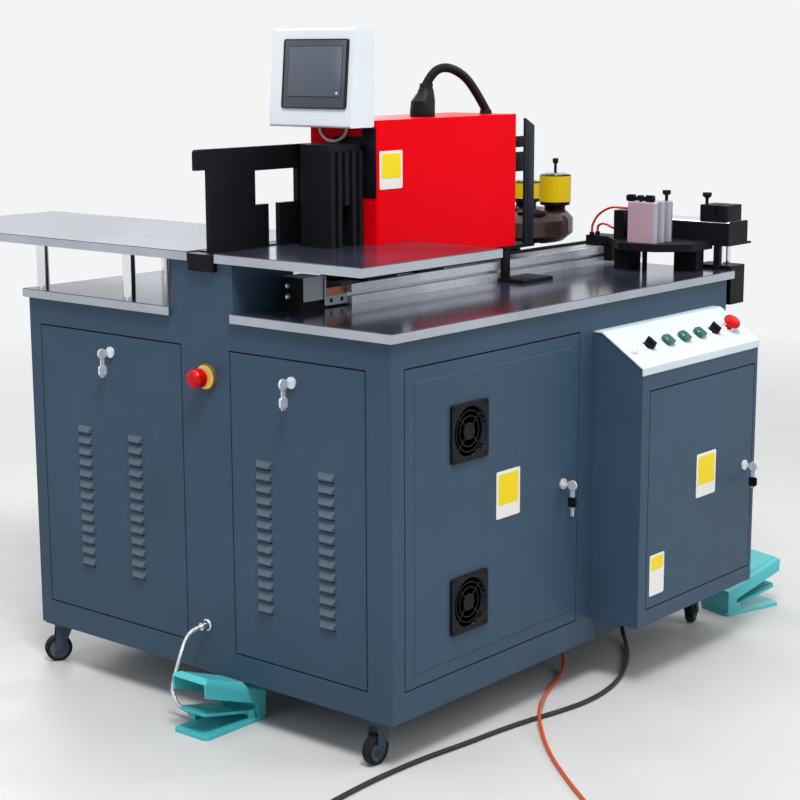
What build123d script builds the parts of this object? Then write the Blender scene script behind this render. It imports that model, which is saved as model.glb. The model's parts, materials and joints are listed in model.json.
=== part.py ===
from build123d import *
import math
import os

# Sizes are in millimetres. The machine is drawn from the cabinet's front left
# corner at floor level: +X along the front, +Y to the rear, +Z up. At the end
# everything moves so that the origin is on the floor under the machine's middle.

# Fits and gaps between pieces
running_clearance = 0.05
seat_gap = 0.3
sheet = 2.0

# Cabinet
cabinet_length = 1247
cabinet_depth = 1065
cabinet_base = 95
cabinet_top = 855
cover_panel_height = 1.5

# Doors: left edge, bottom edge, width and height on their own wall
door_gap = 3
door_rim = 16
pivot_inset = 6
pivot_radius = 2.5
pivot_length = 11
door_far_span = (575, 1026)
door_near_span = (66, 428)
end_door_bottom = 155
end_door_top = 794
fan_door_left = 41
fan_door_right = 626
fan_door_bottom = 157
fan_door_top = 798
panel_inset = 27
panel_raise = 1.5

# Louvres of the end doors
louvre_width = 44
louvre_height = 15
louvre_raise = 6
louvre_wall = 1.2
louvre_end_slope = 5
louvre_nose = 3
louvre_pitch = 25.3
louvre_rows = 13
louvre_start = 262
louvre_columns_far = (889, 724)
louvre_columns_near = (338, 167)

# Fans on the fan door
fan_frame = 119
fan_frame_depth = 6
fan_frame_corner = 6
fan_opening_radius = 52
fan_bar = 2.4
fan_ring_radii = (20, 31, 42)
fan_centres = ((237, 649), (238, 294))

# Locks
lock_radius = 9
lock_flange_radius = 12
lock_flange = 4
cam_width = 14
cam_thickness = 3
cam_gap = 1
cam_hold = 2
key_bow_radius = 11
key_bow_thickness = 5
key_reach = 22
key_drop = 52
lock_far_place = (793, 756)
lock_near_place = (256, 751)
lock_fan_place = (570, 478)
lock_box_place = (1133, 437)

# Control box on the cabinet front
box_left = 684
box_right = 1183
box_depth = 125
box_bottom = 147
box_front_top = 725
box_back_top = 794
box_ledge = 20
box_door_left = 717
box_door_right = 1168
box_door_bottom = 185
box_door_top = 672
lid_thickness = 3
lid_skirt = 14
lid_device_line = 58
lamp_x = 710
lamp_radius = 14
selector_places = (779, 1056)
green_places = (855, 923, 990)
panel_stop_x = 1124
selector_radius = 13
selector_height = 9
green_side = 27
green_height = 7
green_lift = 4
stop_head_radius = 20
stop_stem_radius = 8

# Emergency stop on the left end
end_stop_y = 496
end_stop_z = 736
end_stop_ring_radius = 28
end_stop_ring = 8
stop_travel = 5

# Tables
table_thickness = 19
lower_table_overhang = 10
lower_table_end = 1267
lower_table_rear = 1075
upper_table_bottom = 974
upper_table_left = -10
upper_table_right = 435
front_table_span = (64, 459)
rear_table_span = (538, 1500)
table_edge = 1.5

# Pillar between the doors, with its notch for the guide's foot bar
pillar_width = 180
pillar_span = (418, 597)
pillar_wall = 4

# Posts
post_radius = 14
post_places = ((25, 755), (25, 1043), (400, 755), (400, 1043))
end_rod_radius = 6
end_rod_places = ((1285, 39), (1319, 39))

# Shear guide plate, its foot bar and the shear block
guide_front = 498
guide_thickness = 12
guide_left = 20
guide_right = 360
guide_top = 1200
guide_head_left = -15
guide_head_bottom = 1158
window_left = 153
window_right = 281
window_bottom = 1079
window_top = 1150
bar_slot_left = 192
bar_slot_right = 225
foot_bar_span_x = (-12, 330)
foot_bar_span_y = (461, 536)
foot_bar_bottom = 955
foot_bar_top = 990
shear_left = 208
shear_right = 308
shear_front = 335
shear_rear = 420
shear_top = 1205
ridge_count = 5
ridge_width = 12
ridge_depth = 6
ridge_drop = 14
bar_way_left = 242
bar_way_right = 275
blade_overlap = 8
blade_thickness = 14
blade_front = 385
blade_roof = 20
blade_slant = 6
blade_rest = 1086
blade_travel = 88

# Feed beam
beam_front = 315
beam_rear = 395
beam_left = 247
beam_right = 1380
beam_height = 44
beam_slot = 8
beam_slot_depth = 7
beam_slot_width_inside = 16
rail_width = 15
rail_height = 6
rail_inset = 3

# Fitting at the feed beam's left end: X, Y and Z of each of its blocks
fitting_base = (104, 176, 330, 380, 874, 893)
fitting_block = (110, 170, 325, 385, 893, 942)
fitting_flange = (170, 176, 322, 388, 885, 940)
fitting_tongue = (176, beam_left, 327, 383, 878, 898)
fitting_pad = (180, beam_left, 330, 380, 898, 914)
table_riser_span = (300, 400)
plate_riser_span = (480, 560)

# Stand and base plate of the hood
hood_left = 325
hood_right = 816
hood_front = 310
hood_rear = guide_front
hood_top = 1252
hood_wall = 3
base_plate_left = 440
base_plate_right = 890
base_plate_bottom = 944
base_plate_top = 952
base_plate_front = 285
stand_foot = (745, 860)
stand_foot_front = 235
stand_foot_thickness = 8
stand_post = (757, 790)
side_post = (850, 885)
side_post_span = (310, 345)
side_post_low_top = 1236
side_post_high_top = 1260
side_bracket_heights = ((1121, 1165), (1176, 1201))

# Conduit on the hood
conduit_radius = 10
conduit_y = 372
fitting_x = 560
fitting_foot_radius = 25
fitting_neck_radius = 13
fitting_height = 68
conduit_end_x = 780
conduit_socket = 16

# Operating terminal
hmi_front_bottom = 244
hmi_front_top = 262
hmi_back = 320
hmi_span = (314, 542)
hmi_bottom = 1238
hmi_top = 1440
hmi_wall = 3
bezel_span = (326, 508)
bezel_heights = (1276, 1419)
bezel_raise = 3
hmi_bracket_span = (350, 480)
hmi_cable_x = 314
hmi_cable_rear = 462
hmi_cable_radius = 3

# Punch frame, its ram and the turret
turret_x = 1087
turret_y = 550
turret_radius = 175
turret_bottom = 930
turret_top = 1000
station_ring = 130
station_count = 6
first_station_angle = -50.3
spindle_radius = 20
sleeve_radius = 39.5
sleeve_bore = 33
sleeve_heights = (70, 45, 70, 45, 45)
collar_radius = 37
collar_height = 20
collar_neck_radius = 26
punch_body_radius = 30
head_ring_radius = 26
tee_radius = 17
tee_height = 40
frame_front = 505
base_plate_rear = frame_front
frame_rear = 590
frame_left = 450
throat_left = 640
frame_right = 1005
frame_lower_top = 924
frame_upper_bottom = 1136
frame_top = 1222
throat_corner = 10
cylinder_raise = 12
ram_radius = 22
ram_rest = 1134
ram_top_drop = 20
ram_travel = 25

# Cross beam and its end block
cross_left = 1250
cross_right = 1340
cross_rear = 240
cross_bottom = 937
cross_top = 990
cross_flange = 5
cross_flange_right = 1360
cross_leg_right = 1262
cross_leg_spans = ((24, 40), (100, 150))
cross_clamp_span = (6, 82)
end_block_depth = 100
end_block_right = 1335
end_block_bottom = 790
end_block_top = 883

# Feed carriage
carriage_bottom = 925
carriage_top = 943
carriage_rear = 366
bridge_outline = (
    (1075, 160),
    (1092, 104),
    (1150, 40),
    (1244, 40),
    (1244, carriage_rear),
    (1186, carriage_rear),
    (1186, 300),
    (1085, 205),
)
round_leg_places = ((1158, 192, 4), (1178, 188, 6))
connector_left = 1155
connector_right = 1184
connector_front = 236
connector_rear = 264
connector_top = 1012
air_fitting_places = ((1189, 350), (1208, 346))
air_fitting_radius = 6
air_fitting_height = 8
gripper_left = 1105
gripper_right = 1186
gripper_front = 114
gripper_rear = 192
gripper_top = 1040
gripper_rib_radius = 9
wing_knob_place = (1130, 152)
round_knob_place = (1177, 130)
air_line_radius = 3

# Casters
caster_places = ((34, 58), (34, 1026), (1188, 40), (1188, 1026))
caster_headings = (180, 150, 20, -30)
caster_plate = 66
caster_plate_thickness = 4
swivel_radius = 25
swivel_height = 5
fork_plate_thickness = 4
kingpin_radius = 5
caster_trail = 18
fork_wall = 3
wheel_radius = 31
wheel_width = 24
wheel_side_gap = 1
axle_radius = 5

# Foot pedals
pedal_length = 180
pedal_width = 100
pedal_base = 8
pedal_wall = 5
pedal_left_place = (-120, 400, 0)
pedal_right_place = (1490, 36, 163)
pedal_pin_x = pedal_length - 40
pedal_pin_z = 20
pedal_pin_radius = 4
treadle_width = 82
treadle_tip_z = 50
treadle_thickness = 6
treadle_rib_count = 8

# Hose from the left end to the left pedal
gland_y = 510
gland_z = 200
gland_length = 22
foot_hose_radius = 5
hose_boss_x = -52
hose_boss_z = 18
hose_boss_end = 516
hose_boss_radius = 9

# Cords on the floor
power_radius = 5
power_entry = (1010, 128)
air_radius = 4
air_entry = (742, 112)
cord_gland_length = 12
coil_tube_stub = 40
coil_inset = 2
cord_lift = 0.5
power_coil_centre = (-375, -70)
power_coil_radius = 62
power_exit_height = 20.3
power_leave = 50
air_coil_centre = (11, -545)
air_coil_radius = 50
air_exit_height = 14
air_leave = 42
coil_height = 32
coil_wall = 28

low_corner = (Align.MIN, Align.MIN, Align.MIN)
standing = (Align.CENTER, Align.CENTER, Align.MIN)
standing_wedge = (Align.CENTER, Align.MIN, Align.MIN)


def block(x0, x1, y0, y1, z0, z1):
    """Return the cuboid between six planes."""
    return Pos(x0, y0, z0) * Box(x1 - x0, y1 - y0, z1 - z0, align=low_corner)


def upright(x, y, z0, z1, radius):
    """Return a round bar along Z."""
    return Pos(x, y, z0) * Cylinder(radius, z1 - z0, align=standing)


def along_x(x0, x1, y, z, radius):
    """Return a round bar along X."""
    return Pos(x0, y, z) * Rot(0, 90, 0) * Cylinder(radius, x1 - x0, align=standing)


def along_y(x, y0, y1, z, radius):
    """Return a round bar along Y."""
    return Pos(x, y0, z) * Rot(-90, 0, 0) * Cylinder(radius, y1 - y0, align=standing)


def side_profile_x(points, x0, x1):
    """Extrude an outline drawn in Y and Z from x0 to x1."""
    face = Plane(origin=(x0, 0, 0), x_dir=(0, 1, 0), z_dir=(1, 0, 0)) * make_face(Polyline(*points, close=True))
    return extrude(face, amount=x1 - x0, dir=(1, 0, 0))


def side_profile_y(points, y0, y1):
    """Extrude an outline drawn in X and Z from y0 to y1."""
    face = Plane(origin=(0, y0, 0), x_dir=(1, 0, 0), z_dir=(0, -1, 0)) * make_face(Polyline(*points, close=True))
    return extrude(face, amount=y1 - y0, dir=(0, 1, 0))


def turned(points):
    """Revolve an outline of radius and height about the Z axis."""
    face = Plane.XZ * make_face(Polyline(*points, close=True))
    return revolve(face, Axis.Z)


# Doors. Each is drawn with its lower left corner at the origin, facing -Y.


def door_tray(width, height):
    """Return a door folded from sheet, with a rim all round."""
    outer = Box(width, door_rim, height, align=low_corner)
    hollow = Pos(sheet, sheet, sheet) * Box(width - 2 * sheet, door_rim, height - 2 * sheet, align=low_corner)
    return outer - hollow


def door_hole(width, height):
    """Return the block that a door's opening takes out of its wall."""
    opening = Box(width + 2 * door_gap, 2 * door_rim, height + 2 * door_gap, align=low_corner)
    return Pos(-door_gap, -door_rim / 2, -door_gap) * opening


def door_lip(width, height):
    """Return the folded lip round a door's opening."""
    reach = door_gap + sheet
    outer = Pos(-reach, 0, -reach) * Box(width + 2 * reach, door_rim, height + 2 * reach, align=low_corner)
    return outer - door_hole(width, height)


def pivot_pins(width, height, side, radius):
    """Return the two pins on which a door turns, in line with its hinge edge."""
    pin = Cylinder(radius, pivot_length, align=standing)
    if side == "left":
        low_pin = Pos(pivot_inset, pivot_inset, -door_gap) * pin
        high_pin = Pos(pivot_inset, pivot_inset, height + door_gap - pivot_length) * pin
        return low_pin + high_pin
    left_pin = Pos(-door_gap, pivot_inset, pivot_inset) * Rot(0, 90, 0) * pin
    right_pin = Pos(width + door_gap - pivot_length, pivot_inset, pivot_inset) * Rot(0, 90, 0) * pin
    return left_pin + right_pin


def framed_wall(wall, place, width, height, side):
    """Cut a door's opening in a wall and give it its lip and pivot pins."""
    cut = wall - place * door_hole(width, height)
    return cut + place * door_lip(width, height) + place * pivot_pins(width, height, side, pivot_radius)


def hung_door(width, height, side, lock_x, lock_z):
    """Return a plain door with its pivot holes and its lock hole."""
    door = door_tray(width, height)
    door = door - pivot_pins(width, height, side, pivot_radius + running_clearance)
    return door - along_y(lock_x, -door_rim, door_rim, lock_z, lock_radius + running_clearance)


def louvre_hood(x, z):
    """Return the pressed hood of one louvre, open along its lower edge."""
    hood = Wedge(
        louvre_width,
        louvre_raise,
        louvre_height,
        louvre_end_slope,
        0,
        louvre_width - louvre_end_slope,
        louvre_nose,
        align=standing_wedge,
    )
    return Pos(x, 0, z) * Rot(0, 0, 180) * hood


def louvre_throat(x, z):
    """Return the way for air through one louvre and through the sheet behind it."""
    width = louvre_width - 2 * louvre_wall
    depth = sheet + louvre_raise - louvre_wall
    throat = Wedge(
        width,
        depth,
        louvre_height - louvre_wall,
        louvre_end_slope,
        0,
        width - louvre_end_slope,
        louvre_nose,
        align=standing_wedge,
    )
    return Pos(x, sheet, z) * Rot(0, 0, 180) * throat


def louvred_door(span, columns, lock_place):
    """Return an end door with its columns of louvres."""
    width = span[1] - span[0]
    height = end_door_top - end_door_bottom
    door = hung_door(width, height, "bottom", span[1] - lock_place[0], lock_place[1] - end_door_bottom)
    rows = [louvre_start - end_door_bottom + row * louvre_pitch for row in range(louvre_rows)]
    places = [(span[1] - column, z) for column in columns for z in rows]
    door = door + [louvre_hood(x, z) for x, z in places]
    return door - [louvre_throat(x, z) for x, z in places]


def end_place(y, z):
    """Place a piece drawn facing -Y on the left end wall."""
    return Pos(0, y, z) * Rot(0, 0, -90)


def fan_guard(x, z):
    """Return a square fan frame with its guard of rings and spokes."""
    frame = Box(fan_frame, fan_frame_depth, fan_frame, align=(Align.CENTER, Align.MAX, Align.CENTER))
    frame = fillet(frame.edges().filter_by(Axis.Y), fan_frame_corner)
    frame = frame - along_y(0, -fan_frame_depth, 0, 0, fan_opening_radius)
    guard = along_y(0, -fan_bar, 0, 0, fan_ring_radii[0] - fan_bar)
    for radius in fan_ring_radii[1:]:
        ring = along_y(0, -fan_bar, 0, 0, radius + fan_bar / 2)
        guard = guard + (ring - along_y(0, -fan_bar, 0, 0, radius - fan_bar / 2))
    for angle in (45, 135):
        spoke = Box(2 * fan_opening_radius + 2, fan_bar, fan_bar, align=(Align.CENTER, Align.MAX, Align.CENTER))
        guard = guard + Rot(0, angle, 0) * spoke
    return Pos(x, 0, z) * (frame + guard)


def make_fan_door():
    """Return the fan door with its raised panel and its two fans."""
    width = fan_door_right - fan_door_left
    height = fan_door_top - fan_door_bottom
    lock_x = lock_fan_place[0] - fan_door_left
    lock_z = lock_fan_place[1] - fan_door_bottom
    door = hung_door(width, height, "left", lock_x, lock_z)
    panel = block(panel_inset, width - panel_inset, -panel_raise, 0, panel_inset, height - panel_inset)
    panel = chamfer(panel.faces().sort_by(Axis.Y)[0].edges(), panel_raise * 0.9)
    door = door + panel
    door = door - along_y(lock_x, -door_rim, 0, lock_z, lock_flange_radius + 3)
    for x, z in fan_centres:
        local_x = x - fan_door_left
        local_z = z - fan_door_bottom
        door = door - along_y(local_x, -door_rim, door_rim, local_z, fan_opening_radius)
        door = door + Pos(0, -panel_raise, 0) * fan_guard(local_x, local_z)
    return Pos(fan_door_left, 0, fan_door_bottom) * door


def make_box_door():
    """Return the control box's door."""
    width = box_door_right - box_door_left
    height = box_door_top - box_door_bottom
    lock_x = lock_box_place[0] - box_door_left
    lock_z = lock_box_place[1] - box_door_bottom
    door = hung_door(width, height, "left", lock_x, lock_z)
    return Pos(box_door_left, -box_depth, box_door_bottom) * door


def door_lock(edge_distance, cam_angle):
    """Return a key lock: flange, barrel, cam long enough to hold the lip, and keys in front."""
    cam_length = edge_distance + door_gap + sheet + cam_hold
    flange = along_y(0, -lock_flange - seat_gap, -seat_gap, 0, lock_flange_radius)
    cam_start = door_rim + cam_gap
    barrel = along_y(0, -lock_flange / 2, cam_start + cam_thickness, 0, lock_radius)
    cam = block(-cam_width / 2, cam_width / 2, cam_start, cam_start + cam_thickness, -cam_width / 2, cam_length)
    cam = Rot(0, cam_angle, 0) * fillet(cam.edges().filter_by(Axis.Y), cam_width / 2 - 1)
    half_key = key_bow_thickness / 2
    stem = block(-half_key / 2, half_key / 2, -key_reach, -lock_flange, -4, 4)
    bow = along_x(-half_key, half_key, -key_reach - 4, 0, key_bow_radius)
    spare = block(-half_key / 2, half_key / 2, -key_reach - 9, -key_reach + 1, -key_drop, 0)
    spare_bow = block(-half_key, half_key, -key_reach - 14, -key_reach + 6, -key_drop + 4, -key_drop + 26)
    spare_bow = fillet(spare_bow.edges().filter_by(Axis.X), 6)
    return flange + barrel + cam + stem + bow + spare + spare_bow


# Cabinet


def make_cabinet_shell():
    """Return floor, right wall and back wall in one, with the caster plates under the floor."""
    body = block(sheet, cabinet_length, sheet, cabinet_depth, cabinet_base, cabinet_top)
    hollow = block(0, cabinet_length - sheet, 0, cabinet_depth - sheet, cabinet_base + sheet, cabinet_top + sheet)
    shell = body - hollow
    side_cover = block(
        cabinet_length,
        cabinet_length + cover_panel_height,
        160,
        cabinet_depth - 60,
        cabinet_base + 60,
        cabinet_top - 60,
    )
    shell = shell + side_cover
    middle = cabinet_length / 2
    for start, end in ((60, middle - 30), (middle + 30, cabinet_length - 60)):
        cover = block(
            start,
            end,
            cabinet_depth,
            cabinet_depth + cover_panel_height,
            cabinet_base + 60,
            cabinet_top - 60,
        )
        shell = shell + cover
    for x, y in caster_places:
        shell = shell + caster_seat(x, y)
    for (x, y), radius in ((power_entry, power_radius), (air_entry, air_radius)):
        gland = upright(x, y, cabinet_base - cord_gland_length, cabinet_base, radius + 6)
        shell = shell + gland
    return shell


def caster_seat(x, y):
    """Return a caster's plate, swivel race and kingpin under the cabinet floor."""
    half = caster_plate / 2
    plate_bottom = cabinet_base - caster_plate_thickness
    race_bottom = plate_bottom - swivel_height
    pin_bottom = race_bottom - seat_gap - fork_plate_thickness - seat_gap
    left = max(x - half, sheet + 1)
    plate = block(left, x + half, y - half, y + half, plate_bottom, cabinet_base)
    race = upright(x, y, race_bottom, plate_bottom, swivel_radius)
    pin = upright(x, y, pin_bottom, race_bottom, kingpin_radius)
    head = upright(x, y, pin_bottom - 3, pin_bottom, kingpin_radius + 3)
    return plate + race + pin + head


def make_cabinet_left():
    """Return the left end wall with both door openings and the pillar on top."""
    wall = block(0, sheet, 0, cabinet_depth, cabinet_base, cabinet_top)
    height = end_door_top - end_door_bottom
    for span in (door_far_span, door_near_span):
        wall = framed_wall(wall, end_place(span[1], end_door_bottom), span[1] - span[0], height, "bottom")
    front, rear = pillar_span
    pillar = block(0, pillar_width, front, rear, cabinet_top, upper_table_bottom)
    hollow = block(
        pillar_wall,
        pillar_width - pillar_wall,
        front + pillar_wall,
        rear - pillar_wall,
        cabinet_top,
        upper_table_bottom - pillar_wall,
    )
    notch = block(-1, pillar_width + 1, foot_bar_span_y[0], foot_bar_span_y[1], foot_bar_bottom, upper_table_bottom)
    floor_of_notch = block(
        0,
        pillar_width,
        foot_bar_span_y[0] - pillar_wall,
        foot_bar_span_y[1] + pillar_wall,
        foot_bar_bottom - pillar_wall,
        upper_table_bottom,
    )
    pillar = (pillar - hollow + floor_of_notch) - notch
    ring = along_x(-end_stop_ring, 0, end_stop_y, end_stop_z, end_stop_ring_radius)
    ring = chamfer(ring.edges().sort_by(Axis.X)[0], 3)
    stem_hole = along_x(-2 * end_stop_ring, 2 * sheet, end_stop_y, end_stop_z, stop_stem_radius + running_clearance)
    return wall + pillar + ring - stem_hole


def make_cabinet_front():
    """Return the front wall with the fan door's opening."""
    wall = block(sheet, cabinet_length, 0, sheet, cabinet_base, cabinet_top)
    place = Pos(fan_door_left, 0, fan_door_bottom)
    width = fan_door_right - fan_door_left
    return framed_wall(wall, place, width, fan_door_top - fan_door_bottom, "left")


def edged_plate(x0, x1, y0, y1, z0, thickness):
    """Return a table sheet with its upper edges broken."""
    plate = block(x0, x1, y0, y1, z0, z0 + thickness)
    return chamfer(plate.faces().sort_by(Axis.Z)[-1].edges(), table_edge)


def make_lower_table():
    """Return the lower table sheet, notched for the pillar."""
    plate = edged_plate(
        -lower_table_overhang,
        lower_table_end,
        -lower_table_overhang,
        lower_table_rear,
        cabinet_top,
        table_thickness,
    )
    notch = block(
        -2 * lower_table_overhang,
        pillar_width,
        pillar_span[0],
        pillar_span[1],
        cabinet_top,
        cabinet_top + table_thickness,
    )
    return plate - notch


def make_upper_table():
    """Return the two raised table sheets, before and behind the guide's foot bar."""
    sheets = []
    for front, rear in (front_table_span, rear_table_span):
        sheets.append(
            edged_plate(upper_table_left, upper_table_right, front, rear, upper_table_bottom, table_thickness)
        )
    return Compound(children=sheets)


def make_posts():
    """Return the chrome table posts and the two rods under the cross beam."""
    table_top = cabinet_top + table_thickness
    posts = []
    for x, y in post_places:
        posts.append(upright(x, y, table_top, upper_table_bottom, post_radius))
    for x, y in end_rod_places:
        posts.append(upright(x, y, end_block_top, cross_bottom - cross_flange, end_rod_radius))
    return Compound(children=posts)


# Shear: guide plate with its window, foot bar, block and blade


def make_shear_frame():
    """Return the guide plate on its foot bar, and the ridged shear block before it."""
    upper_top = upper_table_bottom + table_thickness
    outline = [
        (guide_left, foot_bar_top),
        (guide_right, foot_bar_top),
        (guide_right, guide_top),
        (guide_head_left, guide_top),
        (guide_head_left, guide_head_bottom),
        (guide_left, guide_head_bottom),
    ]
    plate = side_profile_y(outline, guide_front, guide_front + guide_thickness)
    corner = plate.edges().filter_by(Axis.Y).group_by(Axis.Z)[-1]
    plate = fillet(corner, 8)
    plate = plate - block(window_left, window_right, guide_front, foot_bar_span_y[1], window_bottom, window_top)
    foot_rear = foot_bar_span_y[1]
    plate = plate - block(bar_slot_left, bar_slot_right, guide_front, foot_rear, upper_top, window_bottom)
    bar = block(*foot_bar_span_x, *foot_bar_span_y, foot_bar_bottom, foot_bar_top)
    bar = chamfer(bar.edges().filter_by(Axis.Z), 3)
    # The bar carries the right end of the plate on a step behind the front table's edge.
    step = block(guide_left, foot_bar_span_x[1], guide_front, foot_rear - 4, foot_bar_top, upper_top)
    plate_and_bar = plate + bar + step
    return Compound(children=[plate_and_bar, make_shear_block()])


def make_shear_block():
    """Return the shear block with its front ridges, the way for bars and the blade's shaft."""
    upper_top = upper_table_bottom + table_thickness
    body = block(shear_left, shear_right, shear_front + ridge_depth, shear_rear, upper_top, shear_top)
    step = (shear_right - shear_left - ridge_width) / (ridge_count - 1)
    for index in range(ridge_count):
        left = shear_left + index * step
        ridge = block(left, left + ridge_width, shear_front, shear_front + ridge_depth, upper_top, shear_top - ridge_drop)
        body = body + ridge
    way = block(bar_way_left, bar_way_right, 0, cabinet_depth, upper_top, window_bottom)
    return body - way - blade_shape(running_clearance, upper_top, shear_top - blade_roof)


def blade_shape(margin, bottom, top):
    """Return the upright block that the blade fills, wider by a margin on each side."""
    return block(
        bar_way_left - blade_overlap - margin,
        bar_way_right + blade_overlap + margin,
        blade_front - margin,
        blade_front + blade_thickness + margin,
        bottom,
        top,
    )


def make_shear_blade():
    """Return the shear blade with its slanted cutting edge, raised above the bars' way."""
    left = bar_way_left - blade_overlap
    right = bar_way_right + blade_overlap
    top = shear_top - blade_roof - 4
    outline = [(left, blade_rest + blade_slant), (right, blade_rest), (right, top), (left, top)]
    return side_profile_y(outline, blade_front, blade_front + blade_thickness)


# Feed beam


def make_feed_beam():
    """Return the slotted beam with its rail, its left end fitting and the risers it carries."""
    bottom = cabinet_top + table_thickness
    top = bottom + beam_height
    beam = block(beam_left, beam_right, beam_front, beam_rear, bottom, top)
    slot_z = bottom + beam_height / 2
    half = beam_slot / 2
    wide = beam_slot_width_inside / 2
    beam = beam - block(beam_left, beam_right, beam_front, beam_front + beam_slot_depth, slot_z - half, slot_z + half)
    inner = beam_front + beam_slot_depth
    beam = beam - block(beam_left, beam_right, inner, inner + 5, slot_z - wide, slot_z + wide)
    slot_y = beam_front + 22
    deep = top - beam_slot_depth
    beam = beam - block(beam_left, beam_right, slot_y - half, slot_y + half, deep, top)
    beam = beam - block(beam_left, beam_right, slot_y - wide, slot_y + wide, deep - 5, deep)
    rail = block(beam_left + 14, beam_right, beam_rear - rail_width, beam_rear, top, top + rail_height)
    rail = chamfer(rail.edges().filter_by(Axis.X).group_by(Axis.Z)[-1], 1.5)
    fitting = block(*fitting_base) + block(*fitting_block) + block(*fitting_flange)
    fitting = fitting + block(*fitting_tongue) + block(*fitting_pad)
    riser_span = (beam_front + 5, beam_rear - rail_width - rail_inset)
    table_riser = block(*table_riser_span, *riser_span, top, upper_table_bottom)
    plate_riser = block(*plate_riser_span, *riser_span, top, base_plate_bottom)
    return Compound(children=[beam, rail, fitting, table_riser, plate_riser])


# Hood, its stand and what it carries


def make_hood_stand():
    """Return the hood's base plate on its L foot, and the slanted side post."""
    table_top = cabinet_top + table_thickness
    foot_top = table_top + stand_foot_thickness
    foot = block(*stand_foot, stand_foot_front, beam_front - 5, table_top, foot_top)
    foot = fillet(foot.edges().filter_by(Axis.Z).group_by(Axis.Y)[0], 6)
    post = block(*stand_post, base_plate_front, beam_front - 5, foot_top, base_plate_bottom)
    plate = block(base_plate_left, base_plate_right, hood_front, base_plate_rear, base_plate_bottom, base_plate_top)
    tab = block(*stand_post, base_plate_front, hood_front, base_plate_bottom, base_plate_top)
    left, right = side_post
    outline = [
        (left, base_plate_top),
        (right, base_plate_top),
        (right, side_post_low_top),
        (left + 5, side_post_high_top),
        (left, side_post_high_top),
    ]
    column = side_profile_y(outline, *side_post_span)
    groove_left = left + 12
    groove = block(groove_left, groove_left + 11, side_post_span[0], side_post_span[0] + 4, 970, 1220)
    column = column - groove
    stand = foot + post + plate + tab + column
    for low, high in side_bracket_heights:
        stand = stand + block(hood_right, left, side_post_span[0] + 8, side_post_span[0] + 20, low, high)
    return stand


def make_hood():
    """Return the red hood, a sheet shell open below and behind, stepped over the table."""
    upper_top = upper_table_bottom + table_thickness
    outline = [
        (hood_left, upper_top),
        (base_plate_left - 1, upper_top),
        (base_plate_left - 1, base_plate_top),
        (hood_right, base_plate_top),
        (hood_right, hood_top),
        (hood_left, hood_top),
    ]
    body = side_profile_y(outline, hood_front, hood_rear)
    front_edges = body.edges().filter_by(Axis.Z).group_by(Axis.Y)[0]
    long_edges = [edge for edge in front_edges if edge.length > 200]
    body = fillet(long_edges, 6)
    hollow = block(
        hood_left + hood_wall,
        hood_right - hood_wall,
        hood_front + hood_wall,
        hood_rear + hood_wall,
        base_plate_top - hood_wall,
        hood_top - hood_wall,
    )
    return body - hollow


def make_conduit():
    """Return the fitting on the hood with the conduit that bends over to its right end."""
    neck_top = hood_top + fitting_height
    fitting = turned(
        [
            (0, hood_top),
            (fitting_foot_radius, hood_top),
            (fitting_foot_radius, hood_top + 14),
            (fitting_neck_radius + 5, hood_top + 22),
            (fitting_neck_radius + 5, neck_top - 20),
            (fitting_neck_radius, neck_top - 16),
            (fitting_neck_radius, neck_top),
            (0, neck_top),
        ]
    )
    fitting = Pos(fitting_x, conduit_y, 0) * fitting
    points = [
        Vector(fitting_x - 4, conduit_y, neck_top - 8),
        Vector(fitting_x + 20, conduit_y, neck_top + 26),
        Vector(fitting_x + 70, conduit_y, neck_top + 41),
        Vector(fitting_x + 133, conduit_y, neck_top + 23),
        Vector(conduit_end_x - 40, conduit_y, hood_top + 54),
        Vector(conduit_end_x, conduit_y, hood_top + conduit_socket / 2),
    ]
    hose = tube(points, conduit_radius, "conduit")
    socket = upright(conduit_end_x, conduit_y, hood_top, hood_top + conduit_socket, conduit_radius + 5)
    return fitting + hose + socket


def corner_radii(points):
    """Return the largest even bend at each inner point of a route."""
    radii = []
    for before, corner, after in zip(points, points[1:], points[2:]):
        run_in = corner - before
        run_out = after - corner
        half_turn = math.radians(run_in.get_angle(run_out)) / 2
        radii.append(0.45 * min(run_in.length, run_out.length) / math.tan(half_turn))
    return radii


def tube(points, radius, label):
    """Sweep a round section along straight runs joined by tangent arcs."""
    radii = corner_radii(points)
    path = FilletPolyline(*points, radius=radii)
    section = Plane(origin=path @ 0, z_dir=path % 0) * Circle(radius)
    solid = sweep(section, path=path)
    expected = math.pi * radius**2 * path.length
    shown = ", ".join(f"{value:.0f}" for value in radii)
    print(f"{label}: length {path.length:.0f}, volume share {solid.volume / expected:.3f}, radii {shown}")
    return solid


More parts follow.
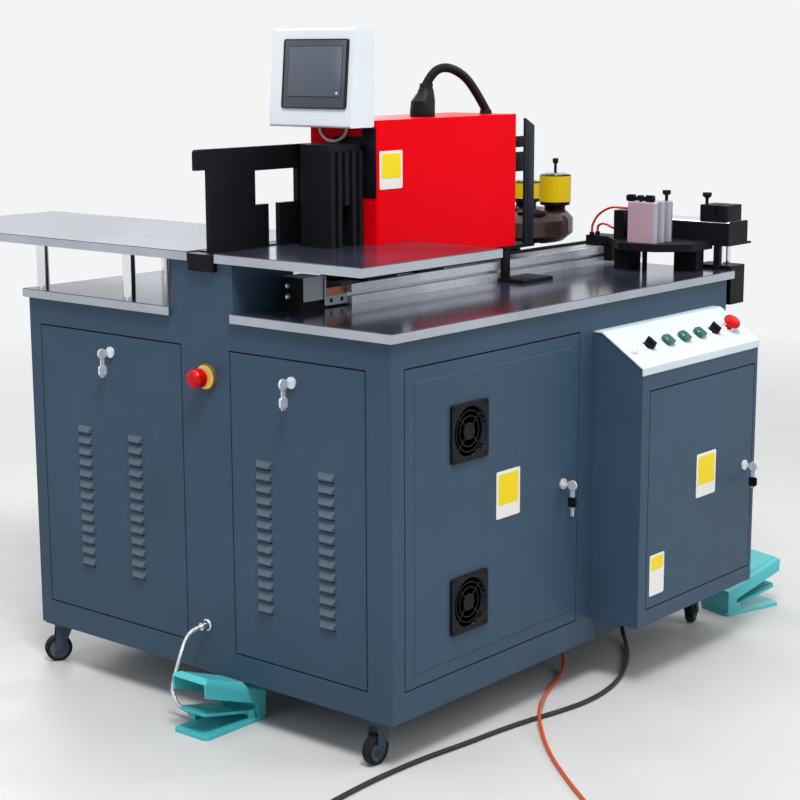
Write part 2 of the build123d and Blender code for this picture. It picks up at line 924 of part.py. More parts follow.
def make_hmi_case():
    """Return the terminal's case, its bracket to the hood, and the cable loop below it."""
    front, rear = hmi_span
    outline = [
        (hmi_front_bottom, hmi_bottom),
        (hmi_back, hmi_bottom),
        (hmi_back, hmi_top),
        (hmi_front_top, hmi_top),
    ]
    case = side_profile_y(outline, front, rear)
    case = fillet(case.edges().filter_by(Axis.Y), 5)
    lean = math.degrees(math.atan2(hmi_front_top - hmi_front_bottom, hmi_top - hmi_bottom))
    middle_y = (bezel_span[0] + bezel_span[1]) / 2
    middle_z = (bezel_heights[0] + bezel_heights[1]) / 2
    share = (middle_z - hmi_bottom) / (hmi_top - hmi_bottom)
    middle_x = hmi_front_bottom + share * (hmi_front_top - hmi_front_bottom)
    bezel = Box(2 * bezel_raise, bezel_span[1] - bezel_span[0], bezel_heights[1] - bezel_heights[0])
    bezel = fillet(bezel.edges().filter_by(Axis.X), 6)
    case = case + Pos(middle_x, middle_y, middle_z) * Rot(0, lean, 0) * bezel
    bracket = block(hmi_back, hood_left, *hmi_bracket_span, hmi_bottom - 20, hood_top - 4)
    points = [
        Vector(hmi_cable_x, hmi_cable_rear, hmi_bottom),
        Vector(hmi_cable_x, hmi_cable_rear - 3, hmi_bottom - 16),
        Vector(hmi_cable_x, hmi_cable_rear - 22, hmi_bottom - 30),
        Vector(hmi_cable_x, hmi_cable_rear - 48, hmi_bottom - 32),
        Vector(hmi_cable_x, hmi_cable_rear - 72, hmi_bottom - 19),
        Vector(hmi_cable_x, hmi_cable_rear - 78, hmi_bottom),
    ]
    return Compound(children=[case + bracket, tube(points, hmi_cable_radius, "terminal cable")])


# Punch frame and turret


def station_centre(index):
    """Return the centre of one turret station."""
    angle = math.radians(first_station_angle + index * 360 / station_count)
    return turret_x + station_ring * math.cos(angle), turret_y + station_ring * math.sin(angle)


def make_punch_frame():
    """Return the C frame with its arm under the turret, the spindle and the cylinder."""
    table_top = cabinet_top + table_thickness
    outline = [
        (frame_left, table_top),
        (frame_right, table_top),
        (frame_right, frame_lower_top),
        (throat_left, frame_lower_top),
        (throat_left, frame_upper_bottom),
        (frame_right, frame_upper_bottom),
        (frame_right, frame_top - 40),
        (frame_right - 60, frame_top),
        (frame_left, frame_top),
    ]
    frame = side_profile_y(outline, frame_front, frame_rear)
    throat_edges = [
        edge
        for edge in frame.edges().filter_by(Axis.Y)
        if abs(edge.center().X - throat_left) < 1
    ]
    frame = fillet(throat_edges, throat_corner)
    arm_rear = turret_y + (turret_y - frame_front)
    arm = block(frame_right, turret_x, frame_front, arm_rear, table_top, frame_lower_top)
    pedestal = upright(turret_x, turret_y, table_top, frame_lower_top, turret_y - frame_front)
    thrust_face = turret_bottom - seat_gap
    seat = upright(turret_x, turret_y, frame_lower_top, thrust_face, 1.8 * spindle_radius)
    spindle = upright(turret_x, turret_y, frame_lower_top, turret_top + 12, spindle_radius)
    x, y = station_centre(4)
    anvil = upright(x, y, frame_lower_top, thrust_face, sleeve_bore)
    cylinder = upright(x, y, frame_upper_bottom, frame_top + cylinder_raise, 2 * ram_radius)
    ram_hole = upright(x, y, ram_rest, frame_top - ram_top_drop / 2, ram_radius + running_clearance)
    frame = frame + arm + pedestal + seat + spindle + anvil + cylinder
    return frame - ram_hole


def make_punch_ram():
    """Return the ram that presses the punch under it."""
    x, y = station_centre(4)
    ram = upright(x, y, ram_rest, frame_top - ram_top_drop, ram_radius)
    return chamfer(ram.edges().sort_by(Axis.Z)[0], 3)


def make_turret_disc():
    """Return the turret disc with its index notches, collars, punch bodies and tee heads."""
    disc = turned(
        [
            (0, turret_bottom),
            (turret_radius - 22, turret_bottom),
            (turret_radius, turret_bottom + 18),
            (turret_radius, turret_top - 16),
            (turret_radius - 15, turret_top),
            (0, turret_top),
        ]
    )
    disc = Pos(turret_x, turret_y, 0) * disc
    for index in range(station_count):
        angle = math.radians(first_station_angle + (index + 0.5) * 360 / station_count)
        x = turret_x + turret_radius * math.cos(angle)
        y = turret_y + turret_radius * math.sin(angle)
        disc = disc - upright(x, y, turret_bottom, turret_top, 10)
    for index, height in enumerate(sleeve_heights):
        disc = disc + punch_set(index, height)
    x, y = station_centre(len(sleeve_heights))
    disc = disc + upright(x, y, turret_top, turret_top + 8, collar_radius)
    disc = disc - upright(x, y, turret_bottom, turret_top + 8, collar_neck_radius)
    hub = upright(turret_x, turret_y, turret_top, turret_top + 8, 2 * spindle_radius)
    bore = upright(turret_x, turret_y, turret_bottom, turret_top + 8, spindle_radius + running_clearance)
    return disc + hub - bore


def punch_set(index, height):
    """Return one station's collar, punch body, head ring and tee."""
    x, y = station_centre(index)
    sleeve_top = turret_top + collar_height + height
    profile = [
        (0, turret_top),
        (collar_neck_radius, turret_top),
        (collar_neck_radius, turret_top + collar_height - 8),
        (collar_radius, turret_top + collar_height - 5),
        (collar_radius, turret_top + collar_height),
        (punch_body_radius, turret_top + collar_height),
        (punch_body_radius, sleeve_top - 4),
        (head_ring_radius, sleeve_top),
        (head_ring_radius, sleeve_top + 4),
        (tee_radius / 2, sleeve_top + 4),
        (tee_radius / 2, sleeve_top + tee_height - 14),
        (tee_radius, sleeve_top + tee_height - 10),
        (tee_radius, sleeve_top + tee_height),
        (0, sleeve_top + tee_height),
    ]
    return Pos(x, y, 0) * turned(profile)


def make_turret_sleeves():
    """Return the yellow spring sleeves, each seated on its collar."""
    sleeves = []
    seat = turret_top + collar_height
    for index, height in enumerate(sleeve_heights):
        x, y = station_centre(index)
        profile = [
            (sleeve_bore, seat),
            (sleeve_radius - 3, seat),
            (sleeve_radius, seat + 3),
            (sleeve_radius, seat + height - 3),
            (sleeve_radius - 3, seat + height),
            (sleeve_bore, seat + height),
        ]
        sleeves.append(Pos(x, y, 0) * turned(profile))
    return Compound(children=sleeves)


# Cross beam


def make_cross_beam():
    """Return the cross beam with its flange, legs and clamp block, and the end block."""
    table_top = cabinet_top + table_thickness
    flange_bottom = cross_bottom - cross_flange
    beam = block(cross_left, cross_right, 0, cross_rear, cross_bottom, cross_top)
    beam = chamfer(beam.edges().filter_by(Axis.Y).group_by(Axis.Z)[-1], 3)
    flange = block(cross_left, cross_flange_right, 0, cross_rear, flange_bottom, cross_bottom)
    legs = [block(cross_left, cross_leg_right, *span, table_top, flange_bottom) for span in cross_leg_spans]
    clamp = block(cross_left, cross_right - 18, *cross_clamp_span, cross_top, cross_top + 48)
    clamp = fillet(clamp.edges().filter_by(Axis.Z), 5)
    clamp = clamp - block(cross_left - 1, cross_right, 34, 40, cross_top + 16, cross_top + 48)
    knob = Pos(cross_left + 14, cross_clamp_span[1] - 12, cross_top + 48) * turned(
        [(0, 0), (4, 0), (4, 9), (11, 15), (11, 23), (0, 23)]
    )
    end_block = block(
        lower_table_end,
        end_block_right,
        0,
        end_block_depth,
        end_block_bottom,
        end_block_top,
    )
    end_block = chamfer(end_block.edges().filter_by(Axis.Z).group_by(Axis.X)[-1], 4)
    ledge = block(
        cabinet_length,
        lower_table_end,
        10,
        end_block_depth,
        end_block_bottom,
        cabinet_top - 2,
    )
    beam = beam + flange + legs
    return Compound(children=[beam + clamp + knob, end_block + ledge])


# Feed carriage


def make_carriage():
    """Return the bridge plate with its legs, beam shoes, connector, air fittings and knobs."""
    table_top = cabinet_top + table_thickness
    beam_top = table_top + beam_height
    face = make_face(Polyline(*bridge_outline, close=True))
    plate = Pos(0, 0, carriage_bottom) * extrude(face, amount=carriage_top - carriage_bottom)
    leg_foot = table_top + seat_gap
    legs = [
        block(1130, 1170, 200, 245, leg_foot, carriage_bottom),
        block(1190, 1225, 52, 98, leg_foot, carriage_bottom),
        block(1186, 1244, beam_front + 4, carriage_rear, beam_top + seat_gap, carriage_bottom),
        block(1190, 1240, beam_front - 22, beam_front - seat_gap, leg_foot + 8, carriage_bottom),
    ]
    for x, y, radius in round_leg_places:
        legs.append(upright(x, y, leg_foot, carriage_bottom, radius))
    connector = block(connector_left, connector_right, connector_front, connector_rear, carriage_top, connector_top)
    plate = plate + legs + connector
    for x, y in air_fitting_places:
        plate = plate + upright(x, y, carriage_top, carriage_top + air_fitting_height, air_fitting_radius)
    return Compound(children=[plate, wing_knob(*wing_knob_place), round_knob(*round_knob_place)])


def wing_knob(x, y):
    """Return a wing knob on its stud on the gripper, its wings thicker at their ends."""
    hub = turned([(0, 0), (4, 0), (4, 4), (8, 4), (8, 18), (0, 18)])
    wing = Pos(0, 0, 8) * Box(8, 60, 7, align=standing)
    for side in (-1, 1):
        wing = wing + Pos(0, side * 27, 6) * fillet(Box(12, 20, 16, align=standing).edges().filter_by(Axis.X), 5)
    return Pos(x, y, gripper_top) * (hub + wing)


def round_knob(x, y):
    """Return a waisted knob on its stud on the gripper."""
    knob = turned([(0, 0), (4, 0), (4, 13), (10, 16), (10, 25), (0, 25)])
    return Pos(x, y, gripper_top) * knob


def make_gripper():
    """Return the aluminium gripper block with its round ribs at the front."""
    rib = gripper_rib_radius
    body = block(gripper_left, gripper_right, gripper_front + rib, gripper_rear, carriage_top, gripper_top)
    middle = (gripper_left + gripper_right) / 2
    for x in (gripper_left + rib, middle, gripper_right - rib):
        body = body + upright(x, gripper_front + rib, carriage_top, gripper_top, rib)
    return chamfer(body.edges().filter_by(Axis.Y).group_by(Axis.Z)[-1], 2)


def make_air_lines():
    """Return the two thin air hoses from the shoe to the gripper and to the connector."""
    foot = carriage_top + air_fitting_height
    (outer_x, outer_y), (inner_x, inner_y) = air_fitting_places
    outer = [
        Vector(outer_x, outer_y, foot),
        Vector(outer_x, outer_y, foot + 15),
        Vector(outer_x - 5, outer_y - 12, foot + 33),
        Vector(outer_x - 15, outer_y - 32, foot + 49),
        Vector(outer_x - 28, outer_y - 62, foot + 63),
        Vector(outer_x - 43, outer_y - 92, foot + 70),
        Vector(outer_x - 58, outer_y - 122, foot + 70),
        Vector(outer_x - 58, gripper_rear, foot + 70),
    ]
    inner = [
        Vector(inner_x, inner_y, foot),
        Vector(inner_x, inner_y, foot + 13),
        Vector(inner_x - 10, inner_y - 18, foot + 22),
        Vector(inner_x - 24, inner_y - 44, foot + 22),
        Vector(inner_x - 36, connector_rear + 16, foot + 16),
        Vector(inner_x - 36, connector_rear, foot + 16),
    ]
    lines = [tube(outer, air_line_radius, "outer air line"), tube(inner, air_line_radius, "inner air line")]
    return Compound(children=lines)


# Control box, its lid and the devices on it


def make_control_box():
    """Return the control box shell, open at its slope, with the door's opening."""
    outline = [
        (0, box_bottom),
        (-box_depth, box_bottom),
        (-box_depth, box_front_top),
        (-box_ledge, box_back_top),
        (0, box_back_top),
    ]
    body = side_profile_x(outline, box_left, box_right)
    hollow_outline = [
        (-sheet, box_bottom + sheet),
        (-box_depth + sheet, box_bottom + sheet),
        (-box_depth + sheet, box_back_top + sheet),
        (-sheet, box_back_top + sheet),
    ]
    body = body - side_profile_x(hollow_outline, box_left + sheet, box_right - sheet)
    place = Pos(box_door_left, -box_depth, box_door_bottom)
    width = box_door_right - box_door_left
    return framed_wall(body, place, width, box_door_top - box_door_bottom, "left")


lid_angle = math.degrees(math.atan2(box_back_top - box_front_top, box_depth - box_ledge))


def lid_place(x, along=lid_device_line):
    """Return the place of a device on the lid, with Z along the lid's normal."""
    angle = math.radians(lid_angle)
    y = -box_depth + along * math.cos(angle) - lid_thickness * math.sin(angle)
    z = box_front_top + along * math.sin(angle) + lid_thickness * math.cos(angle)
    return Pos(x, y, z) * Rot(lid_angle, 0, 0)


def make_panel_lid():
    """Return the sloped lid with its skirt, device holes and white lamp."""
    angle = math.radians(lid_angle)
    shift_y = -lid_thickness * math.sin(angle)
    shift_z = lid_thickness * math.cos(angle)
    bend = lid_thickness * math.tan(angle / 2)
    front = -box_depth - sheet
    outline = [
        (-box_depth, box_front_top),
        (-box_ledge, box_back_top),
        (0, box_back_top),
        (0, box_back_top + lid_thickness),
        (-box_ledge - bend, box_back_top + lid_thickness),
        (-box_depth + shift_y, box_front_top + shift_z),
        (front, box_front_top),
        (front, box_front_top - lid_skirt),
        (-box_depth, box_front_top - lid_skirt),
    ]
    lid = side_profile_x(outline, box_left - sheet, box_right + sheet)
    for x in selector_places:
        lid = lid - lid_place(x) * upright(0, 0, -2 * lid_thickness, lid_thickness, 6 + running_clearance)
    for x in green_places + (panel_stop_x,):
        hole = upright(0, 0, -2 * lid_thickness, lid_thickness, stop_stem_radius + running_clearance)
        lid = lid - lid_place(x) * hole
    dome = turned([(0, 0), (lamp_radius, 0), (lamp_radius, 3), (lamp_radius - 3, 9), (lamp_radius - 8, 13), (0, 15)])
    return lid + lid_place(lamp_x) * dome


def make_selector(x):
    """Return a selector knob with its finger bar, on a stem through the lid."""
    stem = upright(0, 0, -lid_thickness - 10, seat_gap + 1, 6)
    knob = upright(0, 0, seat_gap, seat_gap + selector_height, selector_radius)
    bar = Pos(0, 0, seat_gap) * Box(7, 2 * selector_radius, selector_height + 9, align=standing)
    bar = fillet(bar.edges().filter_by(Axis.Z), 3)
    return lid_place(x) * (stem + knob + bar)


def make_green_button(x):
    """Return a square button with a domed face, on a stem through the lid."""
    stem = upright(0, 0, -lid_thickness - 12, green_lift, stop_stem_radius)
    body = Pos(0, 0, green_lift) * Box(green_side, green_side, green_height, align=standing)
    body = fillet(body.edges().filter_by(Axis.Z), 5)
    top = green_lift + green_height
    half = green_side / 2
    dome = turned([(0, top), (half - 1, top), (half - 3, top + 2), (half - 8, top + 4), (0, top + 5)])
    return lid_place(x) * (stem + body + dome)


def mushroom(head_bottom, head_height, stem_end):
    """Return a mushroom head on its stem, with Z pointing out of the panel."""
    top = head_bottom + head_height
    radius = stop_head_radius
    return turned(
        [
            (0, stem_end),
            (stop_stem_radius, stem_end),
            (stop_stem_radius, head_bottom),
            (radius - 6, head_bottom),
            (radius, head_bottom + 6),
            (radius, top - 8),
            (radius - 3, top - 3),
            (radius - 9, top),
            (0, top),
        ]
    )


def make_panel_stop():
    """Return the mushroom stop on the lid."""
    return lid_place(panel_stop_x) * mushroom(stop_travel + 3, 20, -lid_thickness - 14)


def make_end_stop():
    """Return the mushroom stop on the left end wall."""
    stop = mushroom(end_stop_ring + stop_travel + 1, 32, -sheet - 16)
    return Pos(0, end_stop_y, end_stop_z) * Rot(0, -90, 0) * stop


def make_electric_plate():
    """Return the mounting plate inside the control box with its row of switchgear."""
    back = -sheet
    plate = block(box_left + 24, box_right - 24, back - 10, back - 8, 300, 680)
    for x in (box_left + 40, box_right - 40):
        for z in (320, 660):
            plate = plate + along_y(x, back - 8, back, z, 6)
    front = back - 10
    rail_z = (360, 470, 590)
    for z in rail_z:
        plate = plate + block(box_left + 40, box_right - 40, front - 7, front, z, z + 35)
    for index in range(5):
        left = box_left + 60 + index * 60
        plate = plate + block(left, left + 45, front - 75, front - 7, rail_z[1] - 20, rail_z[1] + 58)
    for index in range(8):
        left = box_left + 60 + index * 24
        plate = plate + block(left, left + 18, front - 60, front - 7, rail_z[2] - 20, rail_z[2] + 55)
    plate = plate + block(box_left + 60, box_left + 340, front - 40, front - 7, rail_z[0] - 12, rail_z[0] + 47)
    return plate


def make_hydraulic_unit():
    """Return the tank on its feet, with motor, pump block and valves on the tank lid."""
    floor = cabinet_base + sheet
    unit = block(320, 780, 390, 680, floor + 12, floor + 230)
    for x in (340, 720):
        unit = unit + block(x, x + 40, 390, 680, floor, floor + 12)
    unit = unit + block(310, 790, 380, 690, floor + 230, floor + 238)
    motor_z = floor + 238 + 92
    unit = unit + along_x(340, 560, 535, motor_z, 72)
    for index in range(9):
        left = 352 + index * 22
        unit = unit + along_x(left, left + 6, 535, motor_z, 82)
    unit = unit + block(360, 540, 480, 590, floor + 238, motor_z - 40)
    unit = unit + along_x(560, 610, 535, motor_z, 46)
    unit = unit + block(610, 680, 490, 580, floor + 238, motor_z + 40)
    for y in (430, 470):
        unit = unit + along_x(640, 760, y, floor + 270, 18)
        unit = unit + block(660, 700, y - 18, y + 18, floor + 238, floor + 270)
    unit = unit + upright(740, 620, floor + 238, floor + 262, 28)
    return unit


# Casters


def caster_frame(index):
    """Return the place of one caster's swivel axis on the floor, turned to its heading."""
    x, y = caster_places[index]
    return Pos(x, y, 0) * Rot(0, 0, caster_headings[index])


def make_fork(index):
    """Return one caster's fork with its swivel plate and axle."""
    race_bottom = cabinet_base - caster_plate_thickness - swivel_height
    plate_top = race_bottom - seat_gap
    plate_bottom = plate_top - fork_plate_thickness
    plate = upright(0, 0, plate_bottom, plate_top, swivel_radius)
    inner = wheel_width / 2 + wheel_side_gap
    outline = [
        (-14, plate_bottom),
        (22, plate_bottom),
        (caster_trail + 10, wheel_radius),
        (caster_trail + 6, wheel_radius - 9),
        (caster_trail - 6, wheel_radius - 9),
        (caster_trail - 10, wheel_radius),
    ]
    arms = side_profile_y(outline, -inner - fork_wall, -inner)
    arms = arms + side_profile_y(outline, inner, inner + fork_wall)
    top = block(-14, 22, -inner - fork_wall, inner + fork_wall, plate_bottom, plate_top)
    axle = along_y(caster_trail, -inner - fork_wall - 2, inner + fork_wall + 2, wheel_radius, axle_radius)
    pin_hole = upright(0, 0, plate_bottom, plate_top, kingpin_radius + running_clearance)
    return caster_frame(index) * (plate + top + arms + axle - pin_hole)


def make_wheel(index):
    """Return one caster's wheel with its tread, web and hub."""
    half = wheel_width / 2
    profile = [
        (axle_radius + running_clearance, -half),
        (12, -half),
        (12, -half + 5),
        (wheel_radius - 9, -half + 5),
        (wheel_radius - 8, -half + 1),
        (wheel_radius - 3, -half + 1),
        (wheel_radius, -half + 5),
        (wheel_radius, half - 5),
        (wheel_radius - 3, half - 1),
        (wheel_radius - 8, half - 1),
        (wheel_radius - 9, half - 5),
        (12, half - 5),
        (12, half),
        (axle_radius + running_clearance, half),
    ]
    wheel = Pos(caster_trail, 0, wheel_radius) * Rot(90, 0, 0) * turned(profile)
    return caster_frame(index) * wheel


# Foot pedals. Each is drawn with its open end at x = 0 and its hinge at the rear.


def pedal_body():
    """Return a cast pedal: base, rear hinge block, hollow toe hood and hinge pin."""
    base = block(0, pedal_length, 0, pedal_width, 0, pedal_base)
    base = fillet(base.edges().filter_by(Axis.Z), 12)
    hood_outline = [
        (4, 92),
        (2, 122),
        (16, 130),
        (pedal_length - 30, 82),
        (pedal_length - 4, 64),
        (pedal_length - 4, pedal_base),
        (pedal_length - 26, pedal_base),
        (pedal_length - 34, 42),
    ]
    hood = side_profile_y(hood_outline, 0, pedal_width)
    top_edges = [
        edge
        for edge in hood.edges()
        if edge.center().Z > 60 and 20 < edge.length and abs(edge.center().Y - pedal_width / 2) > 40
    ]
    long_top = [edge for edge in top_edges if edge.length > 100 and edge.center().Z > 95]
    hood = fillet(long_top, 16)
    inner_outline = [
        (-10, 0),
        (-10, 122 - pedal_wall),
        (16, 130 - pedal_wall),
        (pedal_length - 40, 84 - pedal_wall),
        (pedal_length - 24, 60),
        (pedal_length - 24, pedal_base),
        (pedal_length - 40, 0),
    ]
    cavity = side_profile_y(inner_outline, pedal_wall, pedal_width - pedal_wall)
    cavity_edges = [edge for edge in cavity.edges() if edge.length > 100 and edge.center().Z > 95]
    cavity = fillet([edge for edge in cavity_edges if abs(edge.center().Y - pedal_width / 2) > 40], 11)
    hood = hood - cavity
    for y in (pedal_wall, pedal_width - pedal_wall - 3):
        base = base + block(pedal_pin_x - 9, pedal_pin_x + 9, y, y + 3, pedal_base, pedal_pin_z + 8)
    pin = along_y(pedal_pin_x, pedal_wall, pedal_width - pedal_wall, pedal_pin_z, pedal_pin_radius)
    return base + hood + pin


def pedal_treadle():
    """Return a ribbed treadle with its hinge barrel round the pedal's pin."""
    side = (pedal_width - treadle_width) / 2
    barrel = along_y(pedal_pin_x, side, pedal_width - side, pedal_pin_z, pedal_pin_radius + 4)
    slope = math.atan2(treadle_tip_z - pedal_pin_z, pedal_pin_x - 6)
    reach = (pedal_pin_x - 6) / math.cos(slope)
    board = Box(reach, treadle_width, treadle_thickness, align=(Align.MAX, Align.CENTER, Align.MIN))
    tip_edges = board.edges().filter_by(Axis.Z).group_by(Axis.X)[0]
    board = fillet(tip_edges, 14)
    rib_pitch = (reach - 40) / treadle_rib_count
    for index in range(treadle_rib_count):
        rib_x = -reach + 14 + index * rib_pitch
        rib = Box(5, treadle_width - 24, 1.5, align=standing)
        board = board + Pos(rib_x, 0, treadle_thickness) * rib
    placed = Pos(pedal_pin_x, pedal_width / 2, pedal_pin_z) * Rot(0, math.degrees(slope), 0) * board
    bore = along_y(pedal_pin_x, 0, pedal_width, pedal_pin_z, pedal_pin_radius + running_clearance)
    return placed + barrel - bore


def pedal_frame(place):
    """Return the place of a pedal on the floor."""
    x, y, angle = place
    return Pos(x, y, 0) * Rot(0, 0, angle)


def make_pedal_left():
    """Return the left pedal with the boss for its hose."""
    boss = along_y(hose_boss_x, pedal_left_place[1] + pedal_width - 2, hose_boss_end, hose_boss_z, hose_boss_radius)
    riser = block(
        hose_boss_x - hose_boss_radius,
        hose_boss_x + hose_boss_radius,
        pedal_left_place[1] + pedal_width - 6,
        pedal_left_place[1] + pedal_width + 4,
        0,
        hose_boss_z,
    )
    return pedal_frame(pedal_left_place) * pedal_body() + boss + riser


# Hoses and cords


def make_hose_gland():
    """Return the chrome gland on the left end wall."""
    gland = turned([(0, 0), (13, 0), (13, 5), (10, 7), (10, 14), (8, gland_length), (0, gland_length)])
    return Pos(0, gland_y, gland_z) * Rot(0, -90, 0) * gland


def make_foot_hose():
    """Return the metal hose that hangs from the gland to the left pedal."""
    points = [
        Vector(-gland_length, gland_y, gland_z),
        Vector(-gland_length - 28, gland_y, gland_z),
        Vector(-gland_length - 52, gland_y + 3, gland_z - 13),
        Vector(-86, gland_y + 12, gland_z - 39),
        Vector(-87, gland_y + 28, gland_z - 74),
        Vector(-83, gland_y + 48, 94),
        Vector(-75, hose_boss_end + 59, 64),
        Vector(-65, hose_boss_end + 58, hose_boss_z + 16),
        Vector(hose_boss_x, hose_boss_end + 35, hose_boss_z),
        Vector(hose_boss_x, hose_boss_end, hose_boss_z),
    ]
    return tube(points, foot_hose_radius, "foot hose")


def cord_gland_end(entry):
    """Return the point where a cord leaves its gland under the cabinet floor."""
    return Vector(entry[0], entry[1], cabinet_base - cord_gland_length)



def make_power_cable():
    """Return the power cable from under the cabinet, along the floor, to its coil."""
    z = power_radius + cord_lift
    stub_x = power_coil_centre[0] + coil_tube_stub
    stub_y = power_coil_centre[1] + power_coil_radius - power_radius - coil_inset
    points = [
        cord_gland_end(power_entry),
        Vector(power_entry[0], power_entry[1], 48),
        Vector(988, 108, 17),
        Vector(949, 72, z),
        Vector(880, 21, z),
        Vector(805, -20, z),
        Vector(730, -53, z),
        Vector(650, -74, z),
        Vector(560, -80, z),
        Vector(470, -66, z),
        Vector(390, -47, z),
        Vector(300, -33, z),
        Vector(204, -24, z),
        Vector(115, -10, z),
        Vector(24, -3, z),
        Vector(-70, -1, z),
        Vector(-165, -6, z),
        Vector(stub_x + 80, stub_y, z),
        Vector(stub_x, stub_y, z),
    ]
    return tube(points, power_radius, "power cable")


def make_air_hose():
    """Return the air hose from under the cabinet, over the power cable, to its coil."""
    z = air_radius + cord_lift
    over = 2 * power_radius + cord_lift + 3 * air_radius
    stub_x = air_coil_centre[0] + air_coil_radius - air_radius - coil_inset
    stub_y = air_coil_centre[1] + coil_tube_stub
    points = [
        cord_gland_end(air_entry),
        Vector(air_entry[0], air_entry[1], 50),
        Vector(724, 97, 17),
        Vector(691, 76, z + 1),
        Vector(640, 53, z),
        Vector(590, 36, z),
        Vector(540, 16, z),
        Vector(494, -9, over - 9),
        Vector(450, -34, over),
        Vector(388, -74, over),
        Vector(347, -110, over - 9),
        Vector(304, -152, z),
        Vector(252, -206, z),
        Vector(207, -260, z),
        Vector(162, -316, z),
        Vector(118, -376, z),
        Vector(stub_x, stub_y + 56, z),
        Vector(stub_x, stub_y, z),
    ]
    return tube(points, air_radius, "air hose")


def coil(radius):
    """Return the outer shape of a coiled cord about its own centre."""
    outer = Cylinder(radius, coil_height, align=standing)
    hollow = Cylinder(radius - coil_wall, coil_height, align=standing)
    ring = outer - hollow
    return fillet(ring.edges().filter_by(GeomType.CIRCLE).group_by(Axis.Z)[-1], 6)


def make_power_coil():
    """Return the coiled rest of the power cable."""
    x, y = power_coil_centre
    side = power_coil_radius - power_radius - coil_inset
    entry = along_x(x, x + coil_tube_stub, y + side, power_radius + cord_lift, power_radius)
    leave = along_x(x, x + power_leave, y - side, power_exit_height, power_radius)
    return Pos(x, y, 0) * coil(power_coil_radius) + entry + leave


def make_power_plug():
    """Return the cable's plug: grip, body and pin collar."""
    x, y = power_coil_centre
    side = power_coil_radius - power_radius - coil_inset
    plug = turned(
        [(0, 0), (8, 0), (10, 22), (17, 30), (17, 66), (20, 70), (20, 100), (17, 100), (17, 74), (0, 74)]
    )
    return Pos(x + power_leave, y - side, power_exit_height) * Rot(0, 90, 0) * plug


def make_air_coil():
    """Return the coiled rest of the air hose."""
    x, y = air_coil_centre
    side = air_coil_radius - air_radius - coil_inset
    entry = along_y(x + side, y, y + coil_tube_stub, air_radius + cord_lift, air_radius)
    leave = along_y(x - side, y, y + air_leave, air_exit_height, air_radius)
    return Pos(x, y, 0) * coil(air_coil_radius) + entry + leave


def make_air_coupling():
    """Return the hose's brass coupling."""
    x, y = air_coil_centre
    side = air_coil_radius - air_radius - coil_inset
    body = turned([(0, 0), (6, 0), (6, 8), (12, 10), (12, 34), (9, 36), (9, 48), (6, 50), (6, 60), (0, 60)])
    return Pos(x - side, y + air_leave, air_exit_height) * Rot(-90, 0, 0) * body


def make_all():
    """Return every piece by its name."""
    pieces = {
        "cabinet_shell": make_cabinet_shell(),
        "cabinet_left": make_cabinet_left(),
        "cabinet_front": make_cabinet_front(),
        "lower_table": make_lower_table(),
        "upper_table": make_upper_table(),
        "chrome_posts": make_posts(),
        "shear_frame": make_shear_frame(),
        "shear_blade": make_shear_blade(),
        "feed_beam": make_feed_beam(),
        "hood_stand": make_hood_stand(),
        "hood": make_hood(),
        "conduit": make_conduit(),
        "hmi_case": make_hmi_case(),
        "punch_frame": make_punch_frame(),
        "punch_ram": make_punch_ram(),
        "turret_disc": make_turret_disc(),
        "turret_sleeves": make_turret_sleeves(),
        "cross_beam": make_cross_beam(),
        "carriage": make_carriage(),
        "gripper": make_gripper(),
        "air_lines": make_air_lines(),
        "control_box": make_control_box(),
        "panel_lid": make_panel_lid(),
        "electric_plate": make_electric_plate(),
        "hydraulic_unit": make_hydraulic_unit(),
        "estop_panel": make_panel_stop(),
        "estop_side": make_end_stop(),
        "door_far": end_place(door_far_span[1], end_door_bottom)
        * louvred_door(door_far_span, louvre_columns_far, lock_far_place),
        "door_near": end_place(door_near_span[1], end_door_bottom)
        * louvred_door(door_near_span, louvre_columns_near, lock_near_place),
        "door_fan": make_fan_door(),
        "door_box": make_box_door(),
        "lock_far": end_place(*lock_far_place) * door_lock(end_door_top - lock_far_place[1], 90),
        "lock_near": end_place(*lock_near_place) * door_lock(end_door_top - lock_near_place[1], 90),
        "lock_fan": Pos(lock_fan_place[0], 0, lock_fan_place[1])
        * door_lock(fan_door_right - lock_fan_place[0], 0),
        "lock_box": Pos(lock_box_place[0], -box_depth, lock_box_place[1])
        * door_lock(box_door_right - lock_box_place[0], 0),
        "pedal_left": make_pedal_left(),
        "pedal_right": pedal_frame(pedal_right_place) * pedal_body(),
        "treadle_left": pedal_frame(pedal_left_place) * pedal_treadle(),
        "treadle_right": pedal_frame(pedal_right_place) * pedal_treadle(),
        "hose_gland": make_hose_gland(),
        "foot_hose": make_foot_hose(),
        "power_cable": make_power_cable(),
        "power_coil": make_power_coil(),
        "power_plug": make_power_plug(),
        "air_hose": make_air_hose(),
        "air_coil": make_air_coil(),
        "air_coupling": make_air_coupling(),
    }
    for number, x in enumerate(selector_places, start=1):
        pieces[f"selector_{number}"] = make_selector(x)
    for number, x in enumerate(green_places, start=1):
        pieces[f"button_green_{number}"] = make_green_button(x)
    for index in range(len(caster_places)):
        pieces[f"fork_{index + 1}"] = make_fork(index)
        pieces[f"wheel_{index + 1}"] = make_wheel(index)
    return pieces


cord_nodes = ("power_cable", "power_coil", "power_plug", "air_hose", "air_coil", "air_coupling")


